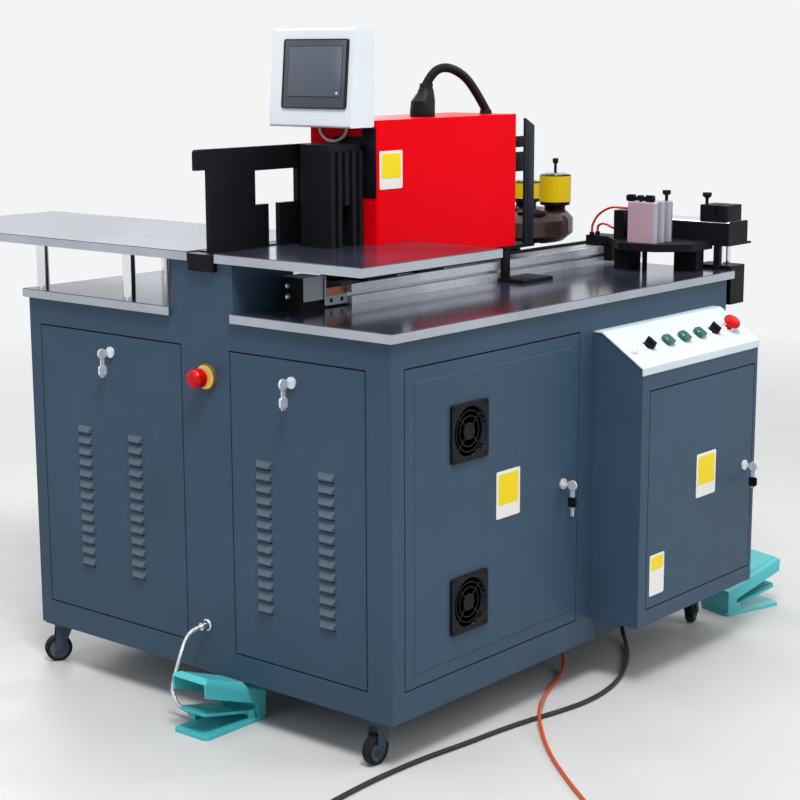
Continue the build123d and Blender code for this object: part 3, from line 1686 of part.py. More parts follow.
def export_all(pieces):
    """Move the machine so that its origin is under its middle, and write every piece."""
    os.makedirs("parts", exist_ok=True)
    machine = Compound(children=[Compound(piece.wrapped) for name, piece in pieces.items() if name not in cord_nodes])
    extent = machine.bounding_box()
    middle = extent.center()
    print(f"origin in the drawing frame: {middle.X:.3f}, {middle.Y:.3f}, {extent.min.Z:.3f}")
    for name, piece in pieces.items():
        placed = Pos(-middle.X, -middle.Y, -extent.min.Z) * piece
        export_step(placed, f"parts/{name}.step")


export_all(make_all())
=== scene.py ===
# %% [markdown]
# # Busbar processing machine, dressed for its portrait
# A busbar processing machine punches, shears and bends flat conductor bars. The
# engineering model gives every sheet, shaft and door its exact place. This script
# loads it, gives each surface its finish and adds the small things a drawing of
# the works leaves out. Every length here is in metres.

import json
import math

import bmesh
import bpy
from mathutils import Matrix, Vector

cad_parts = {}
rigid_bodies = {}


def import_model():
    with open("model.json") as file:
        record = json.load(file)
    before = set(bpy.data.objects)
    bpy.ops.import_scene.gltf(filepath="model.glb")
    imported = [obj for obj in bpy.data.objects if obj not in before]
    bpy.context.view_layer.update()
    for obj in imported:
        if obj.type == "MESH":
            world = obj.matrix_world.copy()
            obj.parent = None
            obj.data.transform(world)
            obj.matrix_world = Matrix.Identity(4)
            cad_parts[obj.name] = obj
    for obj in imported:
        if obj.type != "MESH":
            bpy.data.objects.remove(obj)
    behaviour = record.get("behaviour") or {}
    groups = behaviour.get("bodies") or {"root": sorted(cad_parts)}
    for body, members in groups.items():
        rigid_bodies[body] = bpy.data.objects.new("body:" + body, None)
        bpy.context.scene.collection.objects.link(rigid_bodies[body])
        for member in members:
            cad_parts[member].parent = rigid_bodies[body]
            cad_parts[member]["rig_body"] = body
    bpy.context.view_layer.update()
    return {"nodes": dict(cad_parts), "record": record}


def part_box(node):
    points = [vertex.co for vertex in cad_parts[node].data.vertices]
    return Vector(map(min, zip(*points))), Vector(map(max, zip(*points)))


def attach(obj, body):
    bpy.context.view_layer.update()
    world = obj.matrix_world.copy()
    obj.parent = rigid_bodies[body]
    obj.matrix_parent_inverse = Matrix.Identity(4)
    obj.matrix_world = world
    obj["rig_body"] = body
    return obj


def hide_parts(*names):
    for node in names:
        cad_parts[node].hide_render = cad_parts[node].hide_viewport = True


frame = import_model()
nodes = frame["nodes"]

# %% [markdown]
# ## One corner to measure from
# The workshop drawing of this machine is measured from the cabinet's front left
# corner at floor level, so the places below are written that way. The front wall
# starts one sheet thickness to the right of that corner, which gives the shift.

# %% Drawing places to model places
SHEET = 0.002
front_wall_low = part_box("cabinet_front")[0]
CORNER = Vector((front_wall_low.x - SHEET, front_wall_low.y, 0.0))


def spot(x, y, z):
    """Return a place of the drawing, in metres, in the model's frame."""
    return CORNER + Vector((x, y, z))


print("drawing corner", [round(v, 4) for v in CORNER])

# %% [markdown]
# ## The camera
# The picture is taken from the left front, a little above the tables, with a long
# lens, so that verticals stay upright and the near corner isn't stretched. A hair
# of roll levels the cabinet's upright edges.

# %% Camera
CAMERA_PLACE = (-2.5344, -2.1470, 1.3932)
CAMERA_DOWN = 0.192
CAMERA_ROLL = 0.0032
CAMERA_TURN = -0.8737
eye = bpy.data.cameras.new("eye")
eye.lens = 80.74
eye.sensor_width = 36.0
eye.clip_end = 60.0
camera = bpy.data.objects.new("eye", eye)
camera.location = spot(*CAMERA_PLACE)
camera.rotation_euler = (math.pi / 2 - CAMERA_DOWN, CAMERA_ROLL, CAMERA_TURN)
bpy.context.scene.collection.objects.link(camera)
bpy.context.scene.camera = camera
print("lens", eye.lens)

# %% [markdown]
# ## A few moves that come back
# Every new piece is shaped in a bmesh, Blender's workbench for meshes. The same
# moves come back on most of them: find what meets at some corners, round edges
# off, and turn the bmesh into an object. Each has a short function.

# %% Shape helpers
def shape(name, bm):
    """Turn a bmesh into an object of the scene."""
    mesh = bpy.data.meshes.new(name)
    bm.to_mesh(mesh)
    bm.free()
    piece = bpy.data.objects.new(name, mesh)
    bpy.context.scene.collection.objects.link(piece)
    return piece


def edges_at(corners):
    """Return the edges that meet at some corners."""
    return list({edge for corner in corners for edge in corner.link_edges})


def faces_at(corners):
    """Return the faces that meet at some corners."""
    return {face for corner in corners for face in corner.link_faces}


def soften(bm, edges, offset, segments=2):
    """Round edges off, and return what the bevel made."""
    return bmesh.ops.bevel(
        bm, geom=edges, offset=offset, segments=segments, profile=0.5, affect="EDGES", material=-1,
    )


print("shape helpers ready")

# %% [markdown]
# ## The studio floor
# A plain floor sweeps up into a wall behind the machine, so no horizon cuts the
# picture. A curved sheet could be modelled ring by ring. A strip of two faces with
# one wide bevel gives the same bend in one step. It stands square to the camera.

# %% Floor and wall in one sweep
SWEEP_BEND = 1.6


def studio_sweep(ahead, behind, half_width, height):
    """Return a floor that turns up into a wall, facing the camera."""
    bm = bmesh.new()
    bmesh.ops.create_grid(bm, x_segments=1, y_segments=1, size=1.0)
    for corner in bm.verts:
        corner.co = Vector((corner.co.x * half_width, ahead if corner.co.y > 0 else -behind, 0.0))
    far = [edge for edge in bm.edges if all(corner.co.y > 0 for corner in edge.verts)]
    lifted = bmesh.ops.extrude_edge_only(bm, edges=far)
    raised = [item for item in lifted["geom"] if isinstance(item, bmesh.types.BMVert)]
    bmesh.ops.translate(bm, verts=raised, vec=(0, 0, height))
    crease = [
        edge for edge in bm.edges
        if all(abs(corner.co.y - ahead) < 1e-6 and corner.co.z < 1e-6 for corner in edge.verts)
    ]
    soften(bm, crease, SWEEP_BEND, 24)
    bmesh.ops.transform(bm, matrix=Matrix.Rotation(CAMERA_TURN, 4, "Z"), verts=bm.verts)
    bmesh.ops.recalc_face_normals(bm, faces=bm.faces)
    for face in bm.faces:
        face.smooth = True
    return shape("studio_sweep", bm)


sweep = studio_sweep(ahead=6.5, behind=5.0, half_width=9.0, height=7.0)
print("sweep faces", len(sweep.data.polygons))

# %% [markdown]
# ## Lamps
# Large lamps give broad highlights and soft shadows. The strongest hangs high at
# the left front and draws the form. The others fill in from the right front, from
# above, from the left and from behind, where they rim the far edges.

# %% Lamps
def soft_lamp(name, place, aim, size, power, colour=(1.0, 1.0, 1.0)):
    """Hang a square lamp at a place, aimed at a point. Its size is in metres, its power in watts."""
    lamp = bpy.data.lights.new(name, "AREA")
    lamp.size = size
    lamp.energy = power
    lamp.color = colour
    hung = bpy.data.objects.new(name, lamp)
    hung.location = place
    hung.rotation_euler = (Vector(aim) - Vector(place)).to_track_quat("-Z", "Y").to_euler()
    bpy.context.scene.collection.objects.link(hung)


COOL_LIGHT = (0.93, 0.97, 1.0)
soft_lamp("lamp_front", (1.6, -4.2, 3.0), (0.0, 0.0, 0.6), size=3.2, power=70.0)
soft_lamp("lamp_high", (-2.0, -2.2, 4.8), (0.0, 0.0, 0.7), size=1.5, power=190.0)
soft_lamp("lamp_top", (-0.4, 0.2, 4.6), (0.0, 0.0, 0.8), size=3.6, power=110.0)
soft_lamp("lamp_left", (-4.6, 0.4, 2.6), (0.0, 0.0, 0.6), size=2.6, power=25.0, colour=COOL_LIGHT)
soft_lamp("lamp_behind", (2.6, 3.8, 3.4), (0.0, 0.2, 0.9), size=3.0, power=90.0)

# %% [markdown]
# ## Sky and backdrop
# A pale grey sky lights every side a little. A studio's backdrop looks paler than
# the light it gives back, so the sky has a second, brighter value, which only the
# camera and mirrored rays meet. The Light Path node tells those rays apart.

# %% Sky
SKY_COLOUR = (0.88, 0.90, 0.93, 1.0)
SKY_STRENGTH = 0.36
BACKDROP = (0.89, 0.905, 0.92, 1.0)


def calculated(tree, operation, first, second):
    """Return the outcome of a sum on two grey values."""
    sum_node = tree.nodes.new("ShaderNodeMath")
    sum_node.operation = operation
    tree.links.new(first, sum_node.inputs[0])
    tree.links.new(second, sum_node.inputs[1])
    return sum_node.outputs[0]


def seen_or_mirrored(tree):
    """Return 1 for rays from the camera and for mirrored rays, and 0 for rays that light things."""
    rays = tree.nodes.new("ShaderNodeLightPath")
    return calculated(tree, "MAXIMUM", rays.outputs["Is Camera Ray"], rays.outputs["Is Glossy Ray"])


sky = bpy.data.worlds.new("studio_air")
bpy.context.scene.world = sky
sky.use_nodes = True
sky_tree = sky.node_tree
air = sky_tree.nodes["Background"]
air.inputs["Color"].default_value = SKY_COLOUR
air.inputs["Strength"].default_value = SKY_STRENGTH
seen = sky_tree.nodes.new("ShaderNodeBackground")
seen.inputs["Color"].default_value = BACKDROP
choice = sky_tree.nodes.new("ShaderNodeMixShader")
sky_tree.links.new(seen_or_mirrored(sky_tree), choice.inputs[0])
sky_tree.links.new(air.outputs[0], choice.inputs[1])
sky_tree.links.new(seen.outputs[0], choice.inputs[2])
sky_tree.links.new(choice.outputs[0], sky_tree.nodes["World Output"].inputs["Surface"])
bpy.context.scene.view_settings.view_transform = "Standard"
print("sky strength", SKY_STRENGTH)

# %% [markdown]
# ## A bench of finishes
# No painted sheet is one even colour. Each finish below starts from one recipe:
# a broad cloud of noise shifts the colour by a few hundredths, a finer one changes
# how dull it is, and a very fine one lifts the surface as spray or grinding does.
# Object coordinates keep the pattern at one scale on every piece.

# %% Clouds and colours
def new_finish(name):
    """Return a material with its tree, its shader and its object coordinates."""
    finish = bpy.data.materials.new(name)
    finish.use_nodes = True
    tree = finish.node_tree
    shader = tree.nodes["Principled BSDF"]
    place = tree.nodes.new("ShaderNodeTexCoord")
    return finish, tree, shader, place.outputs["Object"]


def noise(tree, where, scale, detail=3.0, stretch=None):
    """Return the grey output of a noise texture, stretched if asked."""
    if stretch:
        mapping = tree.nodes.new("ShaderNodeMapping")
        mapping.inputs["Scale"].default_value = stretch
        tree.links.new(where, mapping.inputs["Vector"])
        where = mapping.outputs["Vector"]
    cloud = tree.nodes.new("ShaderNodeTexNoise")
    cloud.inputs["Scale"].default_value = scale
    cloud.inputs["Detail"].default_value = detail
    tree.links.new(where, cloud.inputs["Vector"])
    return cloud.outputs["Fac"]


def worn(colour, amount):
    """Return a colour a little darker or lighter."""
    return tuple(min(1.0, max(0.0, c * amount)) for c in colour)


def spread(tree, value, low, high, start=0.35, end=0.65):
    """Map a grey value to a range."""
    mapped = tree.nodes.new("ShaderNodeMapRange")
    mapped.inputs["From Min"].default_value = start
    mapped.inputs["From Max"].default_value = end
    mapped.inputs["To Min"].default_value = low
    mapped.inputs["To Max"].default_value = high
    tree.links.new(value, mapped.inputs["Value"])
    return mapped.outputs["Result"]


def tint(tree, share, first, second):
    """Mix two colours by a grey value. A colour is three numbers or another node's output."""
    mixed = tree.nodes.new("ShaderNodeMix")
    mixed.data_type = "RGBA"
    tree.links.new(share, mixed.inputs["Factor"])
    for colour, socket in ((first, mixed.inputs[6]), (second, mixed.inputs[7])):
        if isinstance(colour, tuple):
            socket.default_value = (*colour, 1.0)
        else:
            tree.links.new(colour, socket)
    return mixed.outputs[2]


print("colour helpers ready")

# %% Edges and grain
def soft_edge(tree, radius):
    """Return normals that bend round the piece's sharp edges, as worn edges do."""
    soft = tree.nodes.new("ShaderNodeBevel")
    soft.samples = 4
    soft.inputs["Radius"].default_value = radius
    return soft.outputs["Normal"]


def lift(tree, shader, height, strength, distance, below):
    """Add a bump to the shader, above the edges below it if there are any."""
    bump = tree.nodes.new("ShaderNodeBump")
    bump.inputs["Strength"].default_value = strength
    bump.inputs["Distance"].default_value = distance
    tree.links.new(height, bump.inputs["Height"])
    if below:
        tree.links.new(below, bump.inputs["Normal"])
    tree.links.new(bump.outputs["Normal"], shader.inputs["Normal"])


print("edge helpers ready")

# %% [markdown]
# ## Two recipes
# Paint and plastic are smooth, with faint pale marks where hands and dust touch
# them. Bare metal keeps the fine lines of the wheel that ground it, so its noise
# is stretched along the grinding direction and drives the dullness as well.

# %% Paint or plastic, and ground metal
CLOUD_SCALE = 3.2
MARK_SCALE = 26.0
DULL_SCALE = 9.0
PEEL_DEPTH = 0.0006
DUST_GREY = 0.45
METAL_CLOUD_SCALE = 5.0
LINE_SCALE = 60.0
LINE_DEPTH = 0.0004


def painted(name, colour, rough, grain=0.12, grain_scale=420.0, dust=0.12, gloss=0.2, edge=0.0012):
    """Return a sprayed finish with soft edges, cloudy colour and fine orange peel."""
    finish, tree, shader, where = new_finish(name)
    broad = noise(tree, where, CLOUD_SCALE)
    base = tint(tree, spread(tree, broad, 0.0, 1.0), worn(colour, 0.95), worn(colour, 1.05))
    marks = noise(tree, where, MARK_SCALE, 6.0)
    pale = tuple(c + (DUST_GREY - c) * 0.10 for c in colour)
    base = tint(tree, spread(tree, marks, 0.0, dust, 0.58, 0.74), base, pale)
    tree.links.new(base, shader.inputs["Base Color"])
    dull = noise(tree, where, DULL_SCALE, 5.0)
    tree.links.new(spread(tree, dull, rough * 0.9, min(1.0, rough * 1.1)), shader.inputs["Roughness"])
    shader.inputs["Specular IOR Level"].default_value = gloss
    below = soft_edge(tree, edge) if edge else None
    lift(tree, shader, noise(tree, where, grain_scale, 2.0), grain, PEEL_DEPTH, below)
    return finish


def ground_metal(name, colour, rough, stretch, metal=1.0, grain=0.10, edge=0.0008, cloud=0.10):
    """Return bare metal with a grinding direction."""
    finish, tree, shader, where = new_finish(name)
    broad = noise(tree, where, METAL_CLOUD_SCALE, 4.0)
    dark, light = worn(colour, 1.0 - cloud), worn(colour, 1.0 + cloud)
    base = tint(tree, spread(tree, broad, 0.0, 1.0), dark, light)
    lines = noise(tree, where, LINE_SCALE, 4.0, stretch)
    base = tint(tree, spread(tree, lines, 0.0, 0.35), base, worn(colour, 0.8))
    tree.links.new(base, shader.inputs["Base Color"])
    tree.links.new(spread(tree, lines, rough * 0.75, min(1.0, rough * 1.35)), shader.inputs["Roughness"])
    shader.inputs["Metallic"].default_value = metal
    lift(tree, shader, lines, grain, LINE_DEPTH, soft_edge(tree, edge))
    return finish


print("recipes ready")

# %% [markdown]
# ## Paints
# The cabinet wears a slate blue satin coat. The hood is gloss red, the terminal
# and the control lid are white, and the guide plate and cross beam are satin black.
# The values are the colours as they look under plain light.

# %% Paints
body_paint = painted("body_paint", (0.040, 0.076, 0.120), 0.40, gloss=0.15)
# A lighter copy of the body paint for the louvres' upper slopes: a painted highlight.
louvre_painted_highlight = painted("louvre_painted_highlight", (0.095, 0.140, 0.180), 0.36, gloss=0.25)
black_steel = painted("black_steel", (0.005, 0.006, 0.008), 0.46, grain=0.08, dust=0.04, gloss=0.09)
post_navy = painted("post_navy", (0.008, 0.012, 0.020), 0.40, grain=0.08, dust=0.05, gloss=0.16)
red_paint = painted("red_paint", (0.800, 0.000, 0.006), 0.30, grain=0.04, dust=0.0, gloss=0.04)
white_paint = painted("white_paint", (0.70, 0.735, 0.78), 0.34, grain=0.05, dust=0.05, gloss=0.3)
lid_paint = painted("lid_paint", (0.60, 0.68, 0.73), 0.36, grain=0.05, dust=0.05, gloss=0.25)
teal_paint = painted("teal_paint", (0.065, 0.480, 0.510), 0.28, grain=0.25, grain_scale=230.0, gloss=0.55)
machine_grey = painted("machine_grey", (0.24, 0.27, 0.28), 0.45, grain=0.15)
print("paints", len(bpy.data.materials))

# %% [markdown]
# ## Plastics and rubber
# Buttons and sleeves are moulded, so they are glossier than paint and show hardly
# any grain. Tyres, cables and treadles are soft and dull, with a stronger grain.

# %% Plastics and rubber
yellow_plastic = painted("yellow_plastic", (0.66, 0.47, 0.004), 0.34, grain=0.04, dust=0.08)
ring_yellow = painted("ring_yellow", (0.88, 0.62, 0.16), 0.30, grain=0.03, dust=0.05, gloss=0.4)
# The ring's rim is painted dark olive: painted shade on its bevelled edge.
ring_rim_shade = painted("ring_rim_shade", (0.120, 0.095, 0.012), 0.34, grain=0.03, dust=0.05)
black_plastic = painted(
    "black_plastic", (0.005, 0.005, 0.006), 0.45, grain=0.08, grain_scale=600.0, dust=0.03, gloss=0.14,
)
green_plastic = painted(
    "green_plastic", (0.003, 0.092, 0.068), 0.20, grain=0.02, dust=0.04, gloss=0.5, edge=0.0008,
)
red_plastic = painted("red_plastic", (0.56, 0.002, 0.003), 0.26, grain=0.02, dust=0.0, gloss=0.2)
wheel_rubber = painted("wheel_rubber", (0.010, 0.011, 0.013), 0.60, grain=0.30, dust=0.25, gloss=0.12)
wheel_hub = painted("wheel_hub", (0.085, 0.105, 0.120), 0.45, grain=0.10, dust=0.2)
treadle_rubber = painted("treadle_rubber", (0.040, 0.400, 0.425), 0.42, grain=0.25, gloss=0.3)
cable_black = painted("cable_black", (0.026, 0.027, 0.030), 0.50, grain=0.20, grain_scale=700.0, edge=0.0)
hose_orange = painted(
    "hose_orange", (0.56, 0.085, 0.018), 0.34, grain=0.06, dust=0.2, gloss=0.35, edge=0.0,
)
hose_red = painted("hose_red", (0.76, 0.015, 0.012), 0.28, grain=0.03, dust=0.1, gloss=0.35, edge=0.0)
print("paints and plastics", len(bpy.data.materials))

# %% [markdown]
# ## Metals
# The table tops are ground smooth and slightly blue, the posts are chromed, and
# the beam is drawn aluminium. The gripper and the casters' forks are metal under
# a thin even coat, so they come from the paint recipe.

# %% Metals
table_top = ground_metal(
    "table_top", (0.110, 0.125, 0.190), 0.14, (1.0, 22.0, 22.0), 0.8, 0.03, cloud=0.35,
)
table_side = ground_metal("table_side", (0.46, 0.49, 0.53), 0.30, (1.0, 30.0, 30.0))
beam_top = ground_metal("beam_top", (0.70, 0.72, 0.76), 0.30, (1.0, 30.0, 30.0))
chrome = ground_metal("chrome", (0.78, 0.78, 0.80), 0.10, (8.0, 8.0, 1.0), 1.0, 0.01)
blade_steel = ground_metal("blade_steel", (0.42, 0.42, 0.44), 0.26, (20.0, 20.0, 1.0))
aluminium = ground_metal("aluminium", (0.60, 0.63, 0.67), 0.32, (1.0, 40.0, 40.0), 0.6, cloud=0.05)
gripper_alloy = painted("gripper_alloy", (0.42, 0.30, 0.36), 0.36, grain=0.04, dust=0.06, gloss=0.6)
gripper_front = ground_metal("gripper_front", (0.34, 0.37, 0.41), 0.36, (22.0, 22.0, 1.0), 0.6, 0.04)
key_steel = ground_metal("key_steel", (0.80, 0.83, 0.87), 0.28, (8.0, 8.0, 1.0), 0.45, 0.03)
zinc_plate = ground_metal("zinc_plate", (0.55, 0.55, 0.52), 0.36, (6.0, 6.0, 6.0), cloud=0.2)
fork_steel = painted("fork_steel", (0.036, 0.058, 0.088), 0.38, grain=0.10, dust=0.12, gloss=0.2)
hose_metal = ground_metal("hose_metal", (0.66, 0.66, 0.67), 0.28, (30.0, 30.0, 30.0))
brass = ground_metal("brass", (0.62, 0.46, 0.19), 0.24, (10.0, 10.0, 10.0))
dark_disc = ground_metal("dark_disc", (0.055, 0.034, 0.027), 0.34, (1.0, 1.0, 1.0), 0.7, cloud=0.2)
pale_ring = ground_metal("pale_ring", (0.60, 0.57, 0.50), 0.30, (6.0, 6.0, 6.0))
print("finishes", len(bpy.data.materials))

# %% [markdown]
# ## Finishes on the engineering pieces
# Most solids already have the right shape, so they stay and only get a finish. The
# model names a slot for each solid, and one table turns slots into finishes. A few
# nodes look different from the rest of their slot, so a second table goes first.

# %% Hand out the finishes
FINISH_OF_SLOT = {
    "body_paint": body_paint, "table_top": table_top, "chrome": chrome, "black_steel": black_steel,
    "blade_steel": blade_steel, "aluminium": aluminium, "red_paint": red_paint, "white_paint": white_paint,
    "teal_paint": teal_paint, "treadle_rubber": treadle_rubber, "yellow_plastic": yellow_plastic,
    "black_plastic": black_plastic, "green_plastic": green_plastic, "red_plastic": red_plastic,
    "zinc_plate": zinc_plate, "machine_green": machine_grey, "hose_metal": hose_metal,
    "wheel_rubber": wheel_rubber, "cable_black": cable_black, "hose_orange": hose_orange, "brass": brass,
}
slot_of_node = {part["node"]: part["material_slot"] for part in frame["record"]["subparts"]}
FINISH_OF_NODE = {
    "air_lines": hose_red, "lock_far": key_steel, "lock_near": key_steel,
    "fork_1": fork_steel, "fork_2": fork_steel, "fork_3": fork_steel, "fork_4": fork_steel,
}
for node_name, node in nodes.items():
    node.data.materials.clear()
    node.data.materials.append(FINISH_OF_NODE.get(node_name, FINISH_OF_SLOT[slot_of_node[node_name]]))
print("nodes with a finish", len(slot_of_node))

# %% [markdown]
# ## Cords on the floor
# A black supply cable and an orange air hose leave through glands under the
# cabinet's floor. A cord is one smooth line, so each is a NURBS spline of low
# order with a round section. Its control points are the corners of the route in
# the engineering model. What the picture doesn't show is wound in a neat coil.

# %% A cord from its control points
def smooth_line(name, points, steps):
    """Return a curve object on the smooth line that its control points give."""
    line = bpy.data.curves.new(name, "CURVE")
    line.dimensions = "3D"
    line.resolution_u = steps
    spline = line.splines.new("NURBS")
    spline.points.add(len(points) - 1)
    for knot, place in zip(spline.points, points):
        knot.co = (*place, 1.0)
    spline.order_u = 3
    spline.use_endpoint_u = True
    drawn = bpy.data.objects.new(name, line)
    bpy.context.scene.collection.objects.link(drawn)
    return drawn


def cord_curve(name, points, radius, finish):
    """Return a smooth round cord along its control points."""
    cord = smooth_line(name, points, 8)
    cord.data.bevel_depth = radius
    cord.data.bevel_resolution = 5
    cord.data.use_fill_caps = True
    cord.data.materials.append(finish)
    return cord


def line_mesh(drawn):
    """Return the mesh that a curve object gives at this moment."""
    bpy.context.view_layer.update()
    return bpy.data.meshes.new_from_object(drawn.evaluated_get(bpy.context.evaluated_depsgraph_get()))


def curve_length(cord):
    """Return the length of a curve's own line."""
    depth = cord.data.bevel_depth
    cord.data.bevel_depth = 0.0
    line = line_mesh(cord)
    ends = [[line.vertices[number].co for number in edge.vertices] for edge in line.edges]
    length = sum((here - there).length for here, there in ends)
    bpy.data.meshes.remove(line)
    cord.data.bevel_depth = depth
    return length


print("cord helpers ready")

# %% A coil
def coil_turns(centre, start, way, stations, step=20.0):
    """Return points round a coil. Stations are turned angle, radius and height."""
    points = []
    turned = step
    while turned <= stations[-1][0] + 1e-6:
        for (a, r0, z0), (b, r1, z1) in zip(stations, stations[1:]):
            if a <= turned <= b:
                share = (turned - a) / (b - a)
                radius = r0 + share * (r1 - r0)
                height = z0 + share * (z1 - z0)
        angle = math.radians(start + way * turned)
        x = centre[0] + radius * math.cos(angle)
        y = centre[1] + radius * math.sin(angle)
        points.append(spot(x, y, height))
        turned += step
    return points


print("coil helper ready")

# %% The supply cable
POWER_ROUTE = [
    (1.010, 0.128, 0.0830), (1.010, 0.128, 0.0480), (0.988, 0.108, 0.0170), (0.949, 0.072, 0.0055),
    (0.880, 0.021, 0.0055), (0.805, -0.020, 0.0055), (0.730, -0.053, 0.0055), (0.650, -0.074, 0.0055),
    (0.560, -0.080, 0.0055), (0.470, -0.066, 0.0055), (0.390, -0.047, 0.0055), (0.300, -0.033, 0.0055),
    (0.204, -0.024, 0.0055), (0.115, -0.010, 0.0055), (0.024, -0.003, 0.0055), (-0.070, -0.001, 0.0055),
    (-0.165, -0.006, 0.0055), (-0.255, -0.015, 0.0055), (-0.335, -0.015, 0.0055), (-0.365, -0.015, 0.0055),
]
POWER_COIL = (-0.375, -0.070)
POWER_TURNS = [
    (0, 0.0560, 0.0055), (300, 0.0560, 0.0055), (360, 0.0455, 0.0055),
    (600, 0.0455, 0.0055), (660, 0.0455, 0.0158), (960, 0.0455, 0.0158),
    (1020, 0.0455, 0.0262), (1440, 0.0455, 0.0262), (1560, 0.0550, 0.0210), (1620, 0.0550, 0.0203),
]
POWER_TAIL = [(-0.350, -0.125, 0.0203), (-0.325, -0.125, 0.0203)]
POWER_RADIUS = 0.005
power_points = [spot(*p) for p in POWER_ROUTE]
power_points += coil_turns(POWER_COIL, 90.0, 1.0, POWER_TURNS)[1:]
power_points += [spot(*p) for p in POWER_TAIL]
supply_cable = cord_curve("supply_cable", power_points, POWER_RADIUS, cable_black)
supply_length = curve_length(supply_cable)
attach(supply_cable, "machine")
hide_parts("power_cable", "power_coil")
print(f"supply cable {supply_length:.3f} m, {len(power_points)} points")

# %% The air hose
AIR_ROUTE = [
    (0.742, 0.112, 0.0830), (0.742, 0.112, 0.0500), (0.724, 0.097, 0.0170), (0.691, 0.076, 0.0055),
    (0.640, 0.053, 0.0045), (0.590, 0.036, 0.0045), (0.540, 0.016, 0.0045), (0.494, -0.009, 0.0135),
    (0.450, -0.034, 0.0225), (0.388, -0.074, 0.0225), (0.347, -0.110, 0.0135), (0.304, -0.152, 0.0045),
    (0.252, -0.206, 0.0045), (0.207, -0.260, 0.0045), (0.162, -0.316, 0.0045), (0.118, -0.376, 0.0045),
    (0.055, -0.449, 0.0045), (0.055, -0.505, 0.0045), (0.055, -0.537, 0.0045),
]
AIR_COIL = (0.011, -0.545)
AIR_TURNS = [
    (0, 0.0447, 0.0045), (300, 0.0447, 0.0045), (360, 0.0362, 0.0045),
    (600, 0.0362, 0.0045), (660, 0.0362, 0.0128), (960, 0.0362, 0.0128),
    (1020, 0.0362, 0.0212), (1440, 0.0362, 0.0212), (1560, 0.0440, 0.0150), (1620, 0.0440, 0.0140),
]
AIR_TAIL = [(-0.033, -0.525, 0.0140), (-0.033, -0.503, 0.0140)]
AIR_RADIUS = 0.004
air_points = [spot(*p) for p in AIR_ROUTE]
air_points += coil_turns(AIR_COIL, 0.0, -1.0, AIR_TURNS)[1:]
air_points += [spot(*p) for p in AIR_TAIL]
air_supply = cord_curve("air_supply", air_points, AIR_RADIUS, hose_orange)
air_length = curve_length(air_supply)
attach(air_supply, "machine")
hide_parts("air_hose", "air_coil")
print(f"air hose {air_length:.3f} m, {len(air_points)} points")

# %% [markdown]
# ## What the cords are
# A cord is soft, so a length and a thickness say more about it than its shape on
# this floor.

# %% Both cords
print("cords: a supply cable and an air hose")

# %% [markdown]
# ## Several finishes on one solid
# Some solids carry two or three finishes, such as a table with a dark top and pale
# edges. A copy of the mesh is merged into one skin, and each face takes its finish
# by where it lies or where it looks. Where the real piece is slimmer or lower than
# the solid, the copy's corners are moved a little as well.

# %% A copy that takes several finishes
SHARP_ANGLE = math.radians(32)
HAIR = 0.0001


def recoloured(name, node_name, finishes, choose, move=None):
    """Add a merged copy of a node. choose(centre, normal) gives the finish's number.

    move(place), if given, returns where a corner of the copy goes, both in drawing places.
    """
    mesh = nodes[node_name].data.copy()
    mesh.name = name
    mesh.materials.clear()
    for finish in finishes:
        mesh.materials.append(finish)
    bm = bmesh.new()
    bm.from_mesh(mesh)
    bmesh.ops.remove_doubles(bm, verts=bm.verts, dist=1e-6)
    if move:
        for corner in bm.verts:
            corner.co = CORNER + move(corner.co - CORNER)
        bm.normal_update()
    for face in bm.faces:
        drawn = face.calc_center_median() - CORNER
        face.material_index = choose(drawn, face.normal)
    bm.to_mesh(mesh)
    bm.free()
    if "custom_normal" in mesh.attributes:
        mesh.attributes.remove(mesh.attributes["custom_normal"])
    mesh.set_sharp_from_angle(angle=SHARP_ANGLE)
    piece = bpy.data.objects.new(name, mesh)
    bpy.context.scene.collection.objects.link(piece)
    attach(piece, nodes[node_name]["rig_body"])
    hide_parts(node_name)
    print(name, len(mesh.polygons), "faces")


print("copy helper ready")

# %% Tables
def top_or_side(place, normal):
    """Return 0 for the dark top of a table and 1 for its pale sides."""
    return 0 if normal.z > 0.5 else 1


recoloured("lower_table_dressed", "lower_table", [table_top, table_side], top_or_side)
recoloured("upper_table_dressed", "upper_table", [table_top, table_side], top_or_side)

# %% [markdown]
# ## Doors and end wall
# The fans' plastic grilles stand proud of the painted door, the stop button has a
# yellow ring with a rim painted dark as shade, and the upper slopes of the louvres
# are painted lighter, a painted highlight where light would catch them. Each is a
# stretch of one solid, so a rule on the face's place or direction finds it.

# %% Fan door
FAN_CENTRES = ((0.237, 0.649), (0.238, 0.294))
FAN_HALF_SIDE = 0.0596
FAN_PROUD = 0.0016


def fan_door_part(place, normal):
    """Return 1 for the two square fans and 0 for the painted door."""
    for x, z in FAN_CENTRES:
        if max(abs(place.x - x), abs(place.z - z)) < FAN_HALF_SIDE and place.y < -FAN_PROUD:
            return 1
    return 0


recoloured("fan_door_dressed", "door_fan", [body_paint, black_plastic], fan_door_part)

# %% Ring of the stop button
STOP_Y, STOP_Z = 0.496, 0.736
STOP_RING_RADIUS = 0.031
WALL_TOLERANCE = 0.0002


def end_wall_part(place, normal):
    """Return 1 for the face of the ring round the stop button, 2 for its rim, painted dark as shade, and 0
    for the wall.
    """
    proud = place.x < -WALL_TOLERANCE
    if not proud or math.hypot(place.y - STOP_Y, place.z - STOP_Z) >= STOP_RING_RADIUS:
        return 0
    return 1 if normal.x < -0.9 else 2


recoloured("end_wall_dressed", "cabinet_left", [body_paint, ring_yellow, ring_rim_shade], end_wall_part)

# %% Louvred doors
LOUVRE_PROUD = 0.0004


